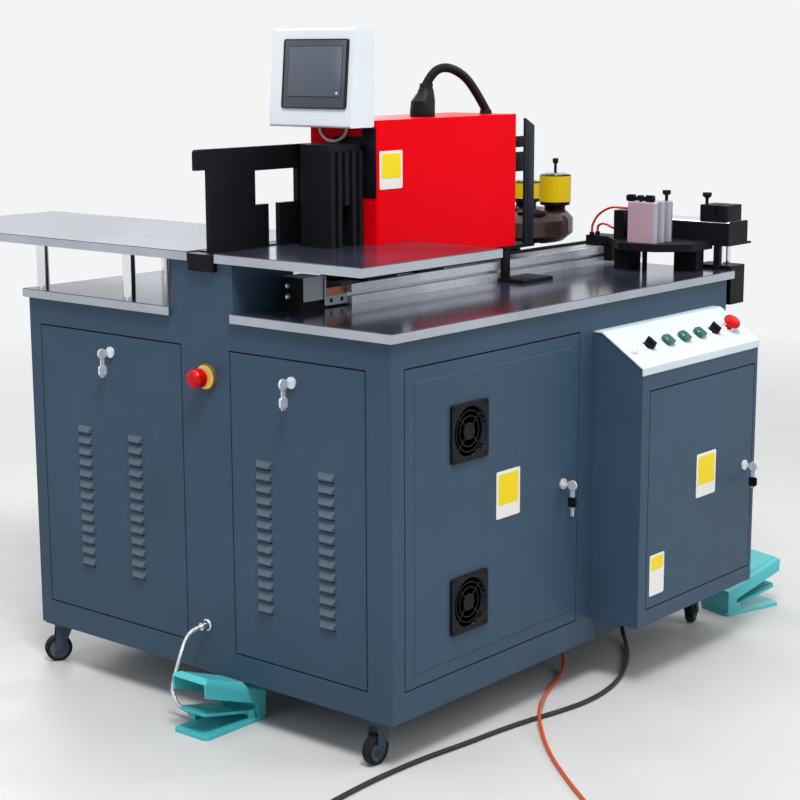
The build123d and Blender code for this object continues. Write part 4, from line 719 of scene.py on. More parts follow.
def door_part(place, normal):
    """Return 1 for the upper slopes of the louvres, painted lighter as a painted highlight, and 0 for the
    door.
    """
    return 1 if place.x < -LOUVRE_PROUD and normal.z > 0.15 else 0


recoloured("far_door_dressed", "door_far", [body_paint, louvre_painted_highlight], door_part)
recoloured("near_door_dressed", "door_near", [body_paint, louvre_painted_highlight], door_part)

# %% [markdown]
# ## Feed beam
# The aluminium beam carries a black rail on risers. Rail and risers are painted
# black also as painted shade, so they sink into the shadow under the upper table.
# Its left end is held by a fitting: a white block with a black foot and a black end,
# and a white tongue with a copper brown piece on it. Heights and lengths along the
# beam tell them apart.

# %% Feed beam
BEAM_LEFT = 0.2469
BLOCK_RIGHT = 0.1761
BLOCK_FOOT_TOP = 0.8932
TONGUE_TOP = 0.8981
RAIL_FOOT = 0.9181


def beam_part(place, normal):
    """Return the finish of the beam, its rail and risers painted black as shade, or the blocks of its left
    end fitting.
    """
    if place.x >= BEAM_LEFT:
        # Black above the rail's foot: the rail and risers, painted black as shade under the upper table.
        return 1 if place.z > RAIL_FOOT else 0
    if place.x > BLOCK_RIGHT:
        return 3 if place.z > TONGUE_TOP else 2
    return 1 if place.z < BLOCK_FOOT_TOP or normal.x < -0.5 else 2


copper_brown = ground_metal("copper_brown", (0.34, 0.13, 0.08), 0.35, (4.0, 4.0, 4.0))
recoloured("feed_beam_dressed", "feed_beam", [aluminium, black_steel, white_paint, copper_brown], beam_part)

# %% [markdown]
# ## Terminal
# The operating terminal is a white case that leans back a little. A dark bezel
# frames its screen, a white cable loops below it, and a red bracket holds it. The
# bezel lies on the leaning front, so its rule follows the lean.

# %% Terminal case
CASE_FOOT = 1.238
CASE_FRONT = 0.244
CASE_SLOPE = 0.0891
BEZEL_LEFT, BEZEL_RIGHT = 0.325, 0.509
BEZEL_FOOT, BEZEL_TOP = 1.272, 1.423
BEZEL_TOLERANCE = 0.0008
LOOP_REACH = 0.3185


def case_front(z):
    """Return how far along X the case's leaning front lies at a height."""
    return CASE_FRONT + (z - CASE_FOOT) * CASE_SLOPE


def terminal_part(place, normal):
    """Return 1 for the dark bezel, 2 for the cable loop, 3 for the bracket and 0 for the white case."""
    if place.z < CASE_FOOT - HAIR:
        return 2 if place.x < LOOP_REACH else 3
    framed = BEZEL_LEFT < place.y < BEZEL_RIGHT and BEZEL_FOOT < place.z < BEZEL_TOP
    return 1 if framed and place.x < case_front(place.z) - BEZEL_TOLERANCE else 0


bezel_black = painted("bezel_black", (0.010, 0.011, 0.014), 0.30, grain=0.03, dust=0.05)
cable_white = painted("cable_white", (0.72, 0.72, 0.70), 0.4, grain=0.05, edge=0.0)
terminal_finishes = [white_paint, bezel_black, cable_white, red_paint]
recoloured("terminal_dressed", "hmi_case", terminal_finishes, terminal_part)

# %% [markdown]
# ## Clamp on the cross beam
# The cross beam is black, with a ground top. The block on it stands lower than in
# the engineering model, so the copy's corners above its foot are drawn down. That
# keeps the faces and only changes a height.

# %% The clamp block on the cross beam
CLAMP_FOOT = 0.990
CLAMP_TOP = 1.038
CLAMP_SHARE = 0.8
CLAMP_KNOB_DROP = 0.004
CHAMFER_DEPTH = 0.004
JUST_ABOVE = 0.0005
BEAM_TOP_TOLERANCE = 0.0004


def lower_clamp(place):
    """Return a corner of the cross beam, with the clamp block drawn down to its real height."""
    if place.z < CLAMP_FOOT + JUST_ABOVE:
        return place
    if place.z < CLAMP_TOP + JUST_ABOVE:
        return Vector((place.x, place.y, CLAMP_FOOT + (place.z - CLAMP_FOOT) * CLAMP_SHARE))
    return Vector((place.x, place.y, place.z - CLAMP_KNOB_DROP))


def cross_beam_part(place, normal):
    """Return 1 for the pale ground top of the cross beam and 0 for the rest."""
    at_top = CLAMP_FOOT - CHAMFER_DEPTH < place.z < CLAMP_FOOT + BEAM_TOP_TOLERANCE
    return 1 if at_top and normal.z > 0.3 else 0


recoloured("cross_beam_dressed", "cross_beam", [black_steel, beam_top], cross_beam_part, lower_clamp)

# %% [markdown]
# ## Gripper and keys
# The gripper is a pale block with a ribbed, darker front. The wing knob on the
# carriage beside it is screwed down further than in the engineering model. The
# keys that hang from the front doors' locks have black plastic bows.

# %% The gripper and its wing knob
GRIPPER_TOP = 1.040
KNOB_MIDDLE = Vector((1.130, 0.152, 0.0))
KNOB_SHIFT = Vector((-0.017, 0.010, 0.0))
KNOB_HALF_X, KNOB_HALF_Y = 0.0085, 0.0395
KNOB_FOOT = 0.0055
KNOB_SINK = 0.0057
KNOB_HUB_HALF = 0.0175
KNOB_HUB_FOOT = 0.008
KNOB_HUB_RISE = 0.003


def gripper_part(place, normal):
    """Return 1 for the ribbed front, which looks darker, and 0 for the pale faces."""
    return 1 if normal.y < -0.3 and normal.z < 0.3 else 0


def plain_part(place, normal):
    """Return 0, the first finish, for every face."""
    return 0


def settle_knob(place):
    """Return a corner of the carriage, with the wing knob screwed down onto the gripper's near edge."""
    away = place - KNOB_MIDDLE
    if place.z < GRIPPER_TOP - HAIR or abs(away.x) > KNOB_HALF_X or abs(away.y) > KNOB_HALF_Y:
        return place
    height = place.z - GRIPPER_TOP
    if height > KNOB_FOOT:
        height -= KNOB_SINK
        if abs(away.y) < KNOB_HUB_HALF and height > KNOB_HUB_FOOT:
            height += KNOB_HUB_RISE
    return Vector((place.x, place.y, GRIPPER_TOP + height)) + KNOB_SHIFT


recoloured("gripper_dressed", "gripper", [gripper_alloy, gripper_front], gripper_part)
recoloured("carriage_dressed", "carriage", [black_steel], plain_part, settle_knob)

# %% Keys with black bows
BOW_FOOT, BOW_TOP = 0.0038, 0.0262
for lock_name in ("lock_fan", "lock_box"):
    key_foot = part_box(lock_name)[0].z

    def key_part(place, normal, foot=key_foot):
        """Return 1 for the hanging key's black bow and 0 for bright metal."""
        return 1 if foot + BOW_FOOT < place.z < foot + BOW_TOP else 0

    recoloured(f"{lock_name}_dressed", lock_name, [key_steel, black_plastic], key_part)

# %% [markdown]
# ## Turret
# Five of the turret's six stations carry a yellow spring sleeve between a dark
# collar and a dark head, and on top stands the slim pin that the ram presses. The
# solids give the places. The copy's pins are drawn in to their real width.

# %% Stations
TURRET = Vector((1.087, 0.550, 0.0))
STATION_RING = 0.130
FIRST_STATION = -50.3
STATION_STEP = 60
SLEEVE_SEAT = 1.020
SLEEVE_HEIGHTS = (0.070, 0.045, 0.070, 0.045, 0.045)
NO_SLEEVE_TOP = 2.0
station_places = []
for number in range(6):
    turned = math.radians(FIRST_STATION + STATION_STEP * number)
    station_places.append(TURRET + STATION_RING * Vector((math.cos(turned), math.sin(turned), 0.0)))


def station_at(place):
    """Return the nearest station's number, and how far from its axis the place is."""
    gaps = [math.hypot(place.x - c.x, place.y - c.y) for c in station_places]
    number = gaps.index(min(gaps))
    return number, gaps[number]


def sleeve_top(number):
    """Return the height of a station's sleeve top, or one above everything where it has none."""
    return SLEEVE_SEAT + SLEEVE_HEIGHTS[number] if number < len(SLEEVE_HEIGHTS) else NO_SLEEVE_TOP


print("stations", len(station_places))

# %% Turret disc and sleeves
PIN_SHARE = 0.42
PIN_FOOT = 0.0039
PIN_REACH = 0.0175
DISC_FACE = 1.0005
COLLAR_REACH = 0.045
HEAD_REACH = 0.0265
HEAD_SINK = 0.001
HEAD_RING_INNER = 0.0085
HEAD_RING_HEIGHT = 0.0055
LINE_WIDTH = 0.0028


def slim_pin(place):
    """Return a corner of a pin, drawn in towards the station's axis."""
    number, gap = station_at(place)
    if place.z < sleeve_top(number) + PIN_FOOT or gap > PIN_REACH:
        return place
    axis = station_places[number]
    x = axis.x + (place.x - axis.x) * PIN_SHARE
    y = axis.y + (place.y - axis.y) * PIN_SHARE
    return Vector((x, y, place.z))


def turret_part(place, normal):
    """Return 1 for a pale head ring, 2 for a black pin or collar and 0 for the brown disc."""
    number, gap = station_at(place)
    top = sleeve_top(number)
    if place.z < DISC_FACE:
        return 0
    if gap < HEAD_REACH and place.z > top - HEAD_SINK:
        return 1 if gap > HEAD_RING_INNER and place.z < top + HEAD_RING_HEIGHT else 2
    return 2 if gap < COLLAR_REACH else 0


def sleeve_part(place, normal):
    """Return 1 for the dark ring lines at both ends of a sleeve and 0 for the yellow wall."""
    number, gap = station_at(place)
    near_end = min(abs(place.z - SLEEVE_SEAT), abs(place.z - sleeve_top(number)))
    return 1 if near_end < LINE_WIDTH else 0


recoloured("turret_dressed", "turret_disc", [dark_disc, pale_ring, black_steel], turret_part, slim_pin)
recoloured("sleeves_dressed", "turret_sleeves", [yellow_plastic, black_plastic], sleeve_part)

# %% [markdown]
# ## Wheels
# A caster's wheel is a grey hub with a moulded tyre. Both are one solid, so the
# distance from the axle's middle decides which finish a face takes.

# %% Hubs and tyres
HUB_REACH = 0.025
for number in range(1, 5):
    low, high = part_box(f"wheel_{number}")
    axle = (low + high) / 2 - CORNER

    def wheel_part(place, normal, axle=axle):
        """Return 0 for the tyre and 1 for the hub."""
        return 1 if (place - axle).length < HUB_REACH else 0

    recoloured(f"wheel_{number}_dressed", f"wheel_{number}", [wheel_rubber, wheel_hub], wheel_part)

# %% [markdown]
# ## Stand and side post
# The hood's base plate stands on an L shaped foot. A slotted post of folded sheet
# stands beside the hood and is held to it by two short brackets. Every piece is a
# block with softened edges, as cut and deburred bar has.

# %% A block with softened edges
def placed_cube(bm, low, high):
    """Add a cube stretched between two drawing places, and return its corners."""
    corners = bmesh.ops.create_cube(bm, size=1.0)["verts"]
    low, high = Vector(low), Vector(high)
    for corner in corners:
        share = corner.co + Vector((0.5, 0.5, 0.5))
        corner.co = CORNER + Vector([low[i] + share[i] * (high[i] - low[i]) for i in range(3)])
    return corners


def soft_block(bm, low, high, soft=0.0008):
    """Add a block between two drawing places, its edges bevelled."""
    soften(bm, edges_at(placed_cube(bm, low, high)), soft)


def finished(name, bm, finishes, body, stands_for=()):
    """Turn a bmesh into a piece that rides on a body."""
    piece = shape(name, bm)
    for face in piece.data.polygons:
        face.use_smooth = True
    piece.data.set_sharp_from_angle(angle=SHARP_ANGLE)
    for finish in finishes:
        piece.data.materials.append(finish)
    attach(piece, body)
    if stands_for:
        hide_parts(*stands_for)
    print(name, len(piece.data.polygons), "faces")


print("block helpers ready")

# %% The stand
POST_LEFT, POST_RIGHT = 0.850, 0.885
FOOT_SHEET = ((0.745, 0.235, 0.874), (0.860, 0.310, 0.882))
FOOT_LEG = ((0.757, 0.298, 0.882), (0.778, 0.310, 0.944))
BASE_PLATE = ((0.440, 0.310, 0.944), (0.890, 0.505, 0.952))
LEG_HEAD = ((0.757, 0.296, 0.944), (0.778, 0.310, 0.952))
LOWER_BRACKET = ((0.816, 0.311, 1.121), (POST_LEFT, 0.321, 1.165))
UPPER_BRACKET = ((0.816, 0.311, 1.176), (POST_LEFT, 0.321, 1.201))
stand = bmesh.new()
for low, high in (FOOT_SHEET, FOOT_LEG, BASE_PLATE, LEG_HEAD, LOWER_BRACKET, UPPER_BRACKET):
    soft_block(stand, low, high)
finished("hood_foot", stand, [black_steel], "machine", ["hood_stand"])

# %% The side post
POST_FOOT, POST_TOP = 0.952, 1.242
POST_SLANT_FROM = 1.2
POST_SLANT = 0.018
SLOT_LEFT, SLOT_RIGHT = POST_LEFT + 0.010, POST_LEFT + 0.014
SLOT_FOOT, SLOT_TOP = 0.975, 1.205
post = bmesh.new()
soft_block(post, (POST_LEFT, 0.310, POST_FOOT), (POST_RIGHT, 0.317, POST_TOP))
for corner in post.verts:
    drawn = corner.co - CORNER
    if drawn.z > POST_SLANT_FROM:
        corner.co.z -= POST_SLANT * (drawn.x - POST_LEFT) / (POST_RIGHT - POST_LEFT)
soft_block(post, (SLOT_LEFT, 0.3085, SLOT_FOOT), (SLOT_RIGHT, 0.3105, SLOT_TOP), 0.0004)
finished("side_post", post, [post_navy], "machine", ["hood_stand"])

# %% [markdown]
# ## Painted shade on the hood, painted shadows under the louvres, key tip
# Three small things are added: a black sheet on the hood's left wall, painted shade
# where the terminal's shadow falls, a dark strip under each louvre, a painted shadow,
# and the bright tip of the key that hangs from the fan door. Each is a thin block
# laid on its solid.

# %% Painted shade: a black sheet on the hood's left wall
PAINTED_SHADE_SHEET = ((0.3236, 0.3125, 1.090), (0.3250, 0.4300, 1.2360))
painted_shade_sheet = bmesh.new()
# The black sheet is painted shade where the terminal's shadow falls on the hood.
soft_block(painted_shade_sheet, *PAINTED_SHADE_SHEET, 0.0004)
finished("hood_side_panel", painted_shade_sheet, [black_steel], "machine")

# %% Painted shadows under the louvres
LOUVRE_COLUMNS = {"door_far": (0.889, 0.724), "door_near": (0.338, 0.167)}
LOUVRE_HALF_WIDTH = 0.020
LOUVRE_PITCH = 0.0253
LOUVRE_ROWS = 13
LOUVRE_START = 0.262
SHADOW_HEIGHT = 0.004
SHADOW_DEPTH = 0.0003
# Dark strips under each louvre: a painted shadow, as the louvres would cast from above.
painted_louvre_shadow = painted(
    "painted_louvre_shadow", (0.010, 0.018, 0.028), 0.6, grain=0.02, dust=0.0, gloss=0.05, edge=0.0,
)
for door_name, columns in LOUVRE_COLUMNS.items():
    painted_shadows = bmesh.new()
    for column in columns:
        for row in range(LOUVRE_ROWS):
            top = LOUVRE_START + row * LOUVRE_PITCH
            low = (-SHADOW_DEPTH, column - LOUVRE_HALF_WIDTH, top - SHADOW_HEIGHT)
            soft_block(painted_shadows, low, (0.0, column + LOUVRE_HALF_WIDTH, top), 0.0001)
    finished(f"{door_name}_mouths", painted_shadows, [painted_louvre_shadow], nodes[door_name]["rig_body"])

# %% The tip of the fan door's hanging key
KEY_X = 0.570
KEY_HALF_THICKNESS = 0.0012
KEY_FRONT, KEY_BACK = -0.0305, -0.0230
KEY_TIP_DROP = 0.016
KEY_TIP_RISE = 0.006
fan_lock_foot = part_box("lock_fan")[0].z
tip = bmesh.new()
tip_low = (KEY_X - KEY_HALF_THICKNESS, KEY_FRONT, fan_lock_foot - KEY_TIP_DROP)
tip_high = (KEY_X + KEY_HALF_THICKNESS, KEY_BACK, fan_lock_foot + KEY_TIP_RISE)
soft_block(tip, tip_low, tip_high, 0.0004)
finished("fan_key_tip", tip, [key_steel], nodes["lock_fan"]["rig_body"])

# %% [markdown]
# ## Ribbed hoses
# The conduit on the hood and the hose to the pedal are both ribbed, so they bend
# without closing. Their line is a smooth spline. A ring of points walks along it,
# step by step, and grows and shrinks to draw the ribs.

# %% Walk along a spline
def smooth_path(points):
    """Return points close together on the smooth line that a cord's control points give."""
    guide = smooth_line("guide_line", points, 24)
    mesh = line_mesh(guide)
    path = [v.co.copy() for v in mesh.vertices]
    line = guide.data
    bpy.data.meshes.remove(mesh)
    bpy.data.objects.remove(guide)
    bpy.data.curves.remove(line)
    return path


def stations_along(path, step):
    """Return the distance, place and direction of even steps along a path."""
    found = []
    gone, goal = 0.0, 0.0
    for here, there in zip(path, path[1:]):
        run = (there - here).length
        while run > 0 and goal <= gone + run:
            found.append((goal, here.lerp(there, (goal - gone) / run), (there - here).normalized()))
            goal += step
        gone += run
    return found


print("path helpers ready")

# %% A tube from a stack of rings
def stacked_rings(bm, placings, sides):
    """Add a closed tube through rings of radius one, each put in its place by a matrix."""
    start = bmesh.ops.create_circle(
        bm, cap_ends=True, segments=sides, radius=1.0, matrix=placings[0],
    )
    ring = edges_at(start["verts"])
    for before, after in zip(placings, placings[1:]):
        grown = bmesh.ops.extrude_edge_only(bm, edges=ring)["geom"]
        corners = [item for item in grown if isinstance(item, bmesh.types.BMVert)]
        bmesh.ops.transform(bm, matrix=after @ before.inverted(), verts=corners)
        edges = [item for item in grown if isinstance(item, bmesh.types.BMEdge)]
        ring = [edge for edge in edges if all(corner in corners for corner in edge.verts)]
    bmesh.ops.edgeloop_fill(bm, edges=ring)
    bmesh.ops.recalc_face_normals(bm, faces=bm.faces)


def ringed_tube(bm, path, step, radius_at, sides=16):
    """Add a closed tube along a path, with a radius for each distance along it."""
    stations = stations_along(path, step)
    turn = stations[0][2].to_track_quat("Z", "Y")
    placings = []
    for (gone, place, way), before in zip(stations, [stations[0]] + stations):
        turn = before[2].rotation_difference(way) @ turn
        size = Matrix.Scale(radius_at(gone), 4)
        placings.append(Matrix.Translation(place) @ turn.to_matrix().to_4x4() @ size)
    stacked_rings(bm, placings, sides)


def rib(inner, outer, pitch):
    """Return the radius rule of a ribbed hose: half of each pitch wide and half narrow."""
    def radius_at(gone):
        """Return the radius at a distance along the hose."""
        return outer if (gone / pitch) % 1.0 < 0.5 else inner

    return radius_at


print("hose helpers ready")

# %% The conduit
HOOD_TOP = 1.252
CONDUIT_Y = 0.372
CONDUIT_LINE = [
    (0.556, 1.312), (0.580, 1.346), (0.630, 1.361), (0.693, 1.343), (0.740, 1.306), (0.780, 1.260),
]
CONDUIT_RIBS = rib(inner=0.0088, outer=0.0100, pitch=0.0036)
conduit = bmesh.new()
conduit_path = smooth_path([spot(x, CONDUIT_Y, z) for x, z in CONDUIT_LINE])
ringed_tube(conduit, conduit_path, 0.0009, CONDUIT_RIBS)
print("conduit points", len(conduit_path))

# %% Its elbow fitting and its socket
FITTING_X = 0.560
# Each ring of the fitting has a height over the hood, a radius and a shift along X.
FITTING_RINGS = [
    (0.0, 0.0270, -0.010), (0.006, 0.0280, -0.010), (0.012, 0.0275, -0.010), (0.034, 0.0265, -0.008),
    (0.052, 0.0185, 0.001), (0.060, 0.0165, 0.002), (0.061, 0.0150, 0.002), (0.072, 0.0145, 0.004),
]
fitting_placings = []
for height, radius, shift in FITTING_RINGS:
    centre = spot(FITTING_X + shift, CONDUIT_Y, HOOD_TOP + height)
    fitting_placings.append(Matrix.Translation(centre) @ Matrix.Scale(radius, 4))
stacked_rings(conduit, fitting_placings, 28)
SOCKET_X = 0.779
SOCKET_HEIGHT = 0.010
bmesh.ops.create_cone(
    conduit, cap_ends=True, segments=28, radius1=0.0145, radius2=0.0125, depth=SOCKET_HEIGHT,
    matrix=Matrix.Translation(spot(SOCKET_X, CONDUIT_Y, HOOD_TOP + SOCKET_HEIGHT / 2)),
)
bmesh.ops.recalc_face_normals(conduit, faces=conduit.faces)
finished("ribbed_conduit", conduit, [black_plastic], "machine", ["conduit"])

# %% The metal hose to the pedal
FOOT_ROUTE = [
    (-0.022, 0.510, 0.200), (-0.044, 0.510, 0.200), (-0.062, 0.512, 0.188), (-0.070, 0.518, 0.162),
    (-0.071, 0.530, 0.128), (-0.069, 0.544, 0.096), (-0.066, 0.557, 0.064), (-0.060, 0.556, 0.036),
    (-0.052, 0.545, 0.019), (-0.052, 0.516, 0.018),
]
FOOT_RIBS = rib(inner=0.0042, outer=0.0049, pitch=0.0028)
hose = bmesh.new()
ringed_tube(hose, smooth_path([spot(*p) for p in FOOT_ROUTE]), 0.0007, FOOT_RIBS, 14)
finished("pedal_hose", hose, [hose_metal], "machine", ["foot_hose"])

# %% [markdown]
# ## Strain reliefs
# Where a cord leaves the cabinet's floor, a short tapered sleeve keeps it from
# bending sharply. It follows the first stretch of the cord's own line.

# %% Tapered sleeves
RELIEF_LENGTH = 0.026
RELIEF_WALL = 0.0048
RELIEF_NARROWING = 0.0038
GROOVE_PITCH = 0.005
GROOVE_START = 0.0034
GROOVE_SHARE = 0.78


def strain_relief(name, route, cord_radius):
    """Add a grooved sleeve that narrows from the gland towards the cord."""
    path = smooth_path([spot(*p) for p in route[:5]])
    gone, short = 0.0, [path[0]]
    for here, there in zip(path, path[1:]):
        gone += (there - here).length
        if gone > RELIEF_LENGTH:
            break
        short.append(there)

    def taper(at):
        """Return the sleeve's radius at a distance from the gland."""
        groove = GROOVE_SHARE if at % GROOVE_PITCH > GROOVE_START else 1.0
        return cord_radius + (RELIEF_WALL - RELIEF_NARROWING * at / RELIEF_LENGTH) * groove

    bm = bmesh.new()
    ringed_tube(bm, short, 0.0009, taper)
    finished(name, bm, [black_plastic], "machine")


strain_relief("supply_relief", POWER_ROUTE, POWER_RADIUS)
strain_relief("air_relief", AIR_ROUTE, AIR_RADIUS)

# %% [markdown]
# ## Plates on the doors and the hood
# Thin plates carry a plain yellow field on a white ground. They are shallow
# blocks with rounded corners, and nothing is written on them.

# %% Sign plates
PLATE_DEPTH = 0.0008
FIELD_DEPTH = 0.0003
sign_white = painted("sign_white", (0.80, 0.80, 0.76), 0.35, grain=0.02, dust=0.05, edge=0.0)
sign_yellow = painted("sign_yellow", (0.88, 0.66, 0.01), 0.35, grain=0.02, dust=0.05, edge=0.0)


def rounded_plate(bm, low, high, corner_radius):
    """Add a thin block that faces -Y, its four upright corners rounded."""
    edges = edges_at(placed_cube(bm, low, high))
    across = [edge for edge in edges if abs(edge.verts[0].co.y - edge.verts[1].co.y) > 1e-6]
    soften(bm, across, corner_radius, 4)


def sign_plate(name, limits, wall_y, body, field_share=0.28):
    """Add a white plate with a plain yellow field over its upper part."""
    left, right, bottom, top = limits
    bm = bmesh.new()
    front = wall_y - PLATE_DEPTH
    rounded_plate(bm, (left, front, bottom), (right, wall_y, top), 0.004)
    plate_faces = len(bm.faces)
    margin = (right - left) * 0.08
    field_low = (left + margin, front - FIELD_DEPTH, bottom + (top - bottom) * field_share)
    rounded_plate(bm, field_low, (right - margin, front, top - margin), 0.003)
    bm.faces.ensure_lookup_table()
    for face in bm.faces[plate_faces:]:
        face.material_index = 1
    bmesh.ops.recalc_face_normals(bm, faces=bm.faces)
    finished(name, bm, [sign_white, sign_yellow], body)


FAN_PANEL_Y = -0.0015
BOX_FRONT_Y = -0.125
HOOD_FRONT_Y = 0.310
fan_door_body = nodes["door_fan"]["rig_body"]
box_door_body = nodes["door_box"]["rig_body"]
sign_plate("fan_door_plate", (0.331, 0.412, 0.446, 0.546), FAN_PANEL_Y, fan_door_body)
sign_plate("box_door_plate", (0.918, 1.002, 0.397, 0.498), BOX_FRONT_Y, box_door_body)
sign_plate("box_label", (0.729, 0.788, 0.210, 0.303), BOX_FRONT_Y, box_door_body, 0.62)
sign_plate("hood_plate", (0.332, 0.406, 1.108, 1.188), HOOD_FRONT_Y, "machine")

# %% [markdown]
# ## The terminal's screen
# The front is one slate grey panel in a thin black frame. A dark line marks the
# display on it, and a small lamp sits in the corner. They are slabs with softened
# edges, laid on the leaning front, each a third of a millimetre prouder.

# %% A slab on the leaning front
LEAN = math.atan2(0.018, 0.202)
BEZEL_PROUD = 0.003
SLAB_DEPTH = 0.0010


def on_terminal(y, z, proud):
    """Return a place on the terminal's leaning front, proud of the bezel."""
    return spot(case_front(z) - BEZEL_PROUD - proud, y, z)


def leaning_slab(bm, limits, proud, finish_number):
    """Add a thin slab parallel to the terminal's front, between its limits in Y and Z."""
    far_y, near_y, low_z, high_z = limits
    made = bmesh.ops.create_cube(bm, size=1.0)["verts"]
    bmesh.ops.scale(bm, vec=(SLAB_DEPTH, far_y - near_y, high_z - low_z), verts=made)
    bevelled = soften(bm, edges_at(made), SLAB_DEPTH * 0.3)
    corners = list({corner for face in bevelled["faces"] for corner in face.verts})
    middle = on_terminal((far_y + near_y) / 2, (low_z + high_z) / 2, proud)
    placing = Matrix.Translation(middle) @ Matrix.Rotation(LEAN, 4, "Y")
    bmesh.ops.transform(bm, matrix=placing, verts=corners)
    for face in faces_at(corners):
        face.material_index = finish_number


print("lean in degrees", round(math.degrees(LEAN), 2))

# %% Screen
PANEL = (0.502, 0.332, 1.2785, 1.4165)
DISPLAY = (0.492, 0.340, 1.300, 1.405)
DISPLAY_EDGE = 0.0014
STATUS_PLACE = (0.352, 1.3085)
STATUS_HEIGHT = 0.0014
STATUS_PROUD = 0.0015
panel_glass = painted(
    "panel_glass", (0.050, 0.060, 0.078), 0.18, grain=0.0, dust=0.02, gloss=0.4, edge=0.0,
)
display_glass = painted(
    "display_glass", (0.078, 0.095, 0.125), 0.14, grain=0.0, dust=0.02, gloss=0.4, edge=0.0,
)
far_y, near_y, low_z, high_z = DISPLAY
inner_display = (far_y - DISPLAY_EDGE, near_y + DISPLAY_EDGE, low_z + DISPLAY_EDGE, high_z - DISPLAY_EDGE)
screen = bmesh.new()
leaning_slab(screen, PANEL, 0.0, 0)
leaning_slab(screen, DISPLAY, 0.0003, 1)
leaning_slab(screen, inner_display, 0.0006, 2)
status_turn = Matrix.Rotation(LEAN - math.pi / 2, 4, "Y")
status_lamp = bmesh.ops.create_cone(
    screen, cap_ends=True, segments=20, radius1=0.0030, radius2=0.0022, depth=STATUS_HEIGHT,
    matrix=Matrix.Translation(on_terminal(*STATUS_PLACE, STATUS_PROUD)) @ status_turn,
)["verts"]
for face in faces_at(status_lamp):
    face.material_index = 3
screen_finishes = [panel_glass, bezel_black, display_glass, white_paint]
finished("terminal_screen", screen, screen_finishes, "machine")

# %% [markdown]
# ## Screws
# Small fasteners tell how large a machine is. Four screws hold each fan, two bolts
# hold the fitting at the beam's left end, and two bushes sit in its tongue. All
# are one shape: a round head with a sunk socket, inset and pushed down.

# %% Socket screws
def socket_screw(bm, place, way, radius, height):
    """Add a round screw head with a sunk socket, standing along a direction."""
    aim = Matrix.Translation(spot(*place)) @ Vector(way).to_track_quat("Z", "Y").to_matrix().to_4x4()
    made = bmesh.ops.create_cone(
        bm, cap_ends=True, segments=18, radius1=radius, radius2=radius, depth=height,
        matrix=aim @ Matrix.Translation((0, 0, height / 2)),
    )["verts"]

    def rise(face):
        """Return how far a face stands out along the screw's direction."""
        return (face.calc_center_median() - spot(*place)).dot(Vector(way))

    top = max(faces_at(made), key=rise)
    rim = list(top.edges)
    bmesh.ops.inset_region(bm, faces=[top], thickness=radius * 0.5, use_even_offset=True)
    bmesh.ops.translate(bm, verts=list(top.verts), vec=Vector(way).normalized() * (-height * 0.6))
    soften(bm, rim, radius * 0.12)


TO_THE_FRONT = (0, -1, 0)
TO_THE_LEFT = (-1, 0, 0)
FAN_SCREW_REACH = 0.0525
FAN_FACE_Y = -0.0075
screws = bmesh.new()
for x, z in FAN_CENTRES:
    for side in (-1, 1):
        for level in (-1, 1):
            place = (x + side * FAN_SCREW_REACH, FAN_FACE_Y, z + level * FAN_SCREW_REACH)
            socket_screw(screws, place, TO_THE_FRONT, 0.0032, 0.0018)
finished("fan_screws", screws, [black_plastic], fan_door_body)

# %% Bolts and bushes of the beam's fitting
BOLT_LEVELS = (0.902, 0.924)
BUSH_PLACES = (0.196, 0.229)
bolts = bmesh.new()
for z in BOLT_LEVELS:
    socket_screw(bolts, (0.110, 0.366, z), TO_THE_LEFT, 0.0055, 0.0045)
finished("fitting_bolts", bolts, [pale_ring], "machine")
holes = bmesh.new()
for x in BUSH_PLACES:
    socket_screw(holes, (x, 0.327, 0.888), TO_THE_FRONT, 0.0048, 0.0010)
finished("tongue_bushes", holes, [black_plastic], "machine")

# %% [markdown]
# ## The control lid
# Devices on a panel sit in thin metal rings, each a low cone with a soft rim. The
# lid itself is one solid with its lamp, so a rule on the place picks the lamp out.

# %% Rings under the lid's devices
LID_SLOPE = math.atan2(0.069, 0.105)
LID_FRONT, LID_FOOT = -0.125, 0.725
LID_SHEET = 0.003
DEVICE_LINE = 0.058
RING_SOFT = 0.0012
RING_DEPTH = 0.0014
RING_LIFT = 0.0006
DEVICE_RINGS = ((0.779, 0.0155), (1.056, 0.0155), (1.124, 0.0145))


def on_lid(x):
    """Return a place on the sloped lid, on the line that its devices stand on."""
    y = LID_FRONT + DEVICE_LINE * math.cos(LID_SLOPE) - LID_SHEET * math.sin(LID_SLOPE)
    z = LID_FOOT + DEVICE_LINE * math.sin(LID_SLOPE) + LID_SHEET * math.cos(LID_SLOPE)
    return spot(x, y, z)


rings = bmesh.new()
lid_turn = Matrix.Rotation(LID_SLOPE, 4, "X")
for x, radius in DEVICE_RINGS:
    bmesh.ops.create_cone(
        rings, cap_ends=True, segments=32, radius1=radius, radius2=radius - RING_SOFT, depth=RING_DEPTH,
        matrix=Matrix.Translation(on_lid(x)) @ lid_turn @ Matrix.Translation((0, 0, RING_LIFT)),
    )
finished("device_rings", rings, [chrome], "machine")

# %% The lid and its lamp
LAMP_X = 0.710
LAMP_REACH = 0.0175
LAMP_HALF_WIDTH = 0.0143
LAMP_SINK = 0.0025


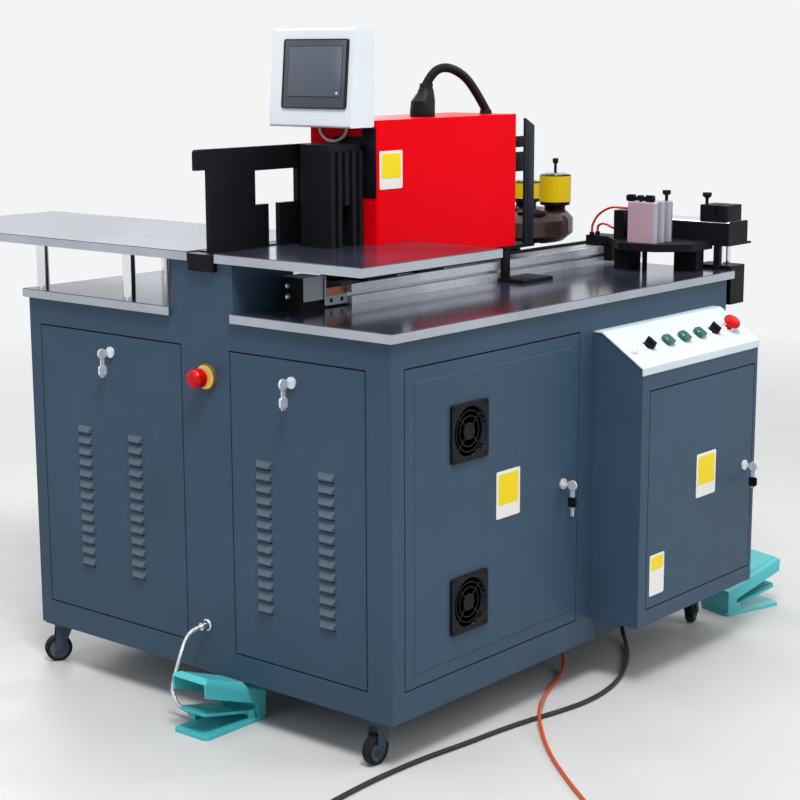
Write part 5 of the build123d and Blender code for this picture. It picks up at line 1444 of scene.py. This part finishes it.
def lid_part(place, normal):
    """Return 1 for the milky lamp and 0 for the painted lid."""
    away = place + CORNER - on_lid(LAMP_X)
    proud = away.z * math.cos(LID_SLOPE) - away.y * math.sin(LID_SLOPE)
    near = away.length < LAMP_REACH and abs(away.x) < LAMP_HALF_WIDTH
    return 1 if near and proud > -LAMP_SINK and normal.z > -0.5 else 0


lamp_white = painted("lamp_white", (0.80, 0.82, 0.82), 0.22, grain=0.0, dust=0.0, gloss=0.5)
recoloured("lid_dressed", "panel_lid", [lid_paint, lamp_white], lid_part)

# %% [markdown]
# ## Floor finish
# The floor is a pale matt grey with faint clouds. Far from the machine it fades to
# the backdrop's even white, which only the camera and mirrored rays see, so the
# floor keeps the machine's shadow and adds no light.

# %% Floor finish
FLOOR_DARK = (0.555, 0.555, 0.55)
FLOOR_PALE = (0.60, 0.60, 0.595)
FLOOR_FADE_START = 2.2
FLOOR_FADE_END = 5.0


def studio_floor():
    """Return the pale floor, with faint clouds, that turns to even white far from the machine."""
    finish, tree, shader, where = new_finish("studio_floor")
    clouds = spread(tree, noise(tree, where, 0.8, 4.0), 0.0, 1.0)
    tree.links.new(tint(tree, clouds, FLOOR_DARK, FLOOR_PALE), shader.inputs["Base Color"])
    tree.links.new(spread(tree, noise(tree, where, 6.0, 5.0), 0.42, 0.6), shader.inputs["Roughness"])
    shader.inputs["Specular IOR Level"].default_value = 0.35
    plain = tree.nodes.new("ShaderNodeEmission")
    plain.inputs["Color"].default_value = BACKDROP
    reach = tree.nodes.new("ShaderNodeVectorMath")
    reach.operation = "LENGTH"
    tree.links.new(where, reach.inputs[0])
    far = spread(tree, reach.outputs["Value"], 0.0, 1.0, FLOOR_FADE_START, FLOOR_FADE_END)
    fade = tree.nodes.new("ShaderNodeMixShader")
    tree.links.new(calculated(tree, "MULTIPLY", far, seen_or_mirrored(tree)), fade.inputs[0])
    tree.links.new(shader.outputs[0], fade.inputs[1])
    tree.links.new(plain.outputs[0], fade.inputs[2])
    tree.links.new(fade.outputs[0], tree.nodes["Material Output"].inputs["Surface"])
    return finish


sweep.data.materials.append(studio_floor())
print("floor fades from", FLOOR_FADE_START, "to", FLOOR_FADE_END)
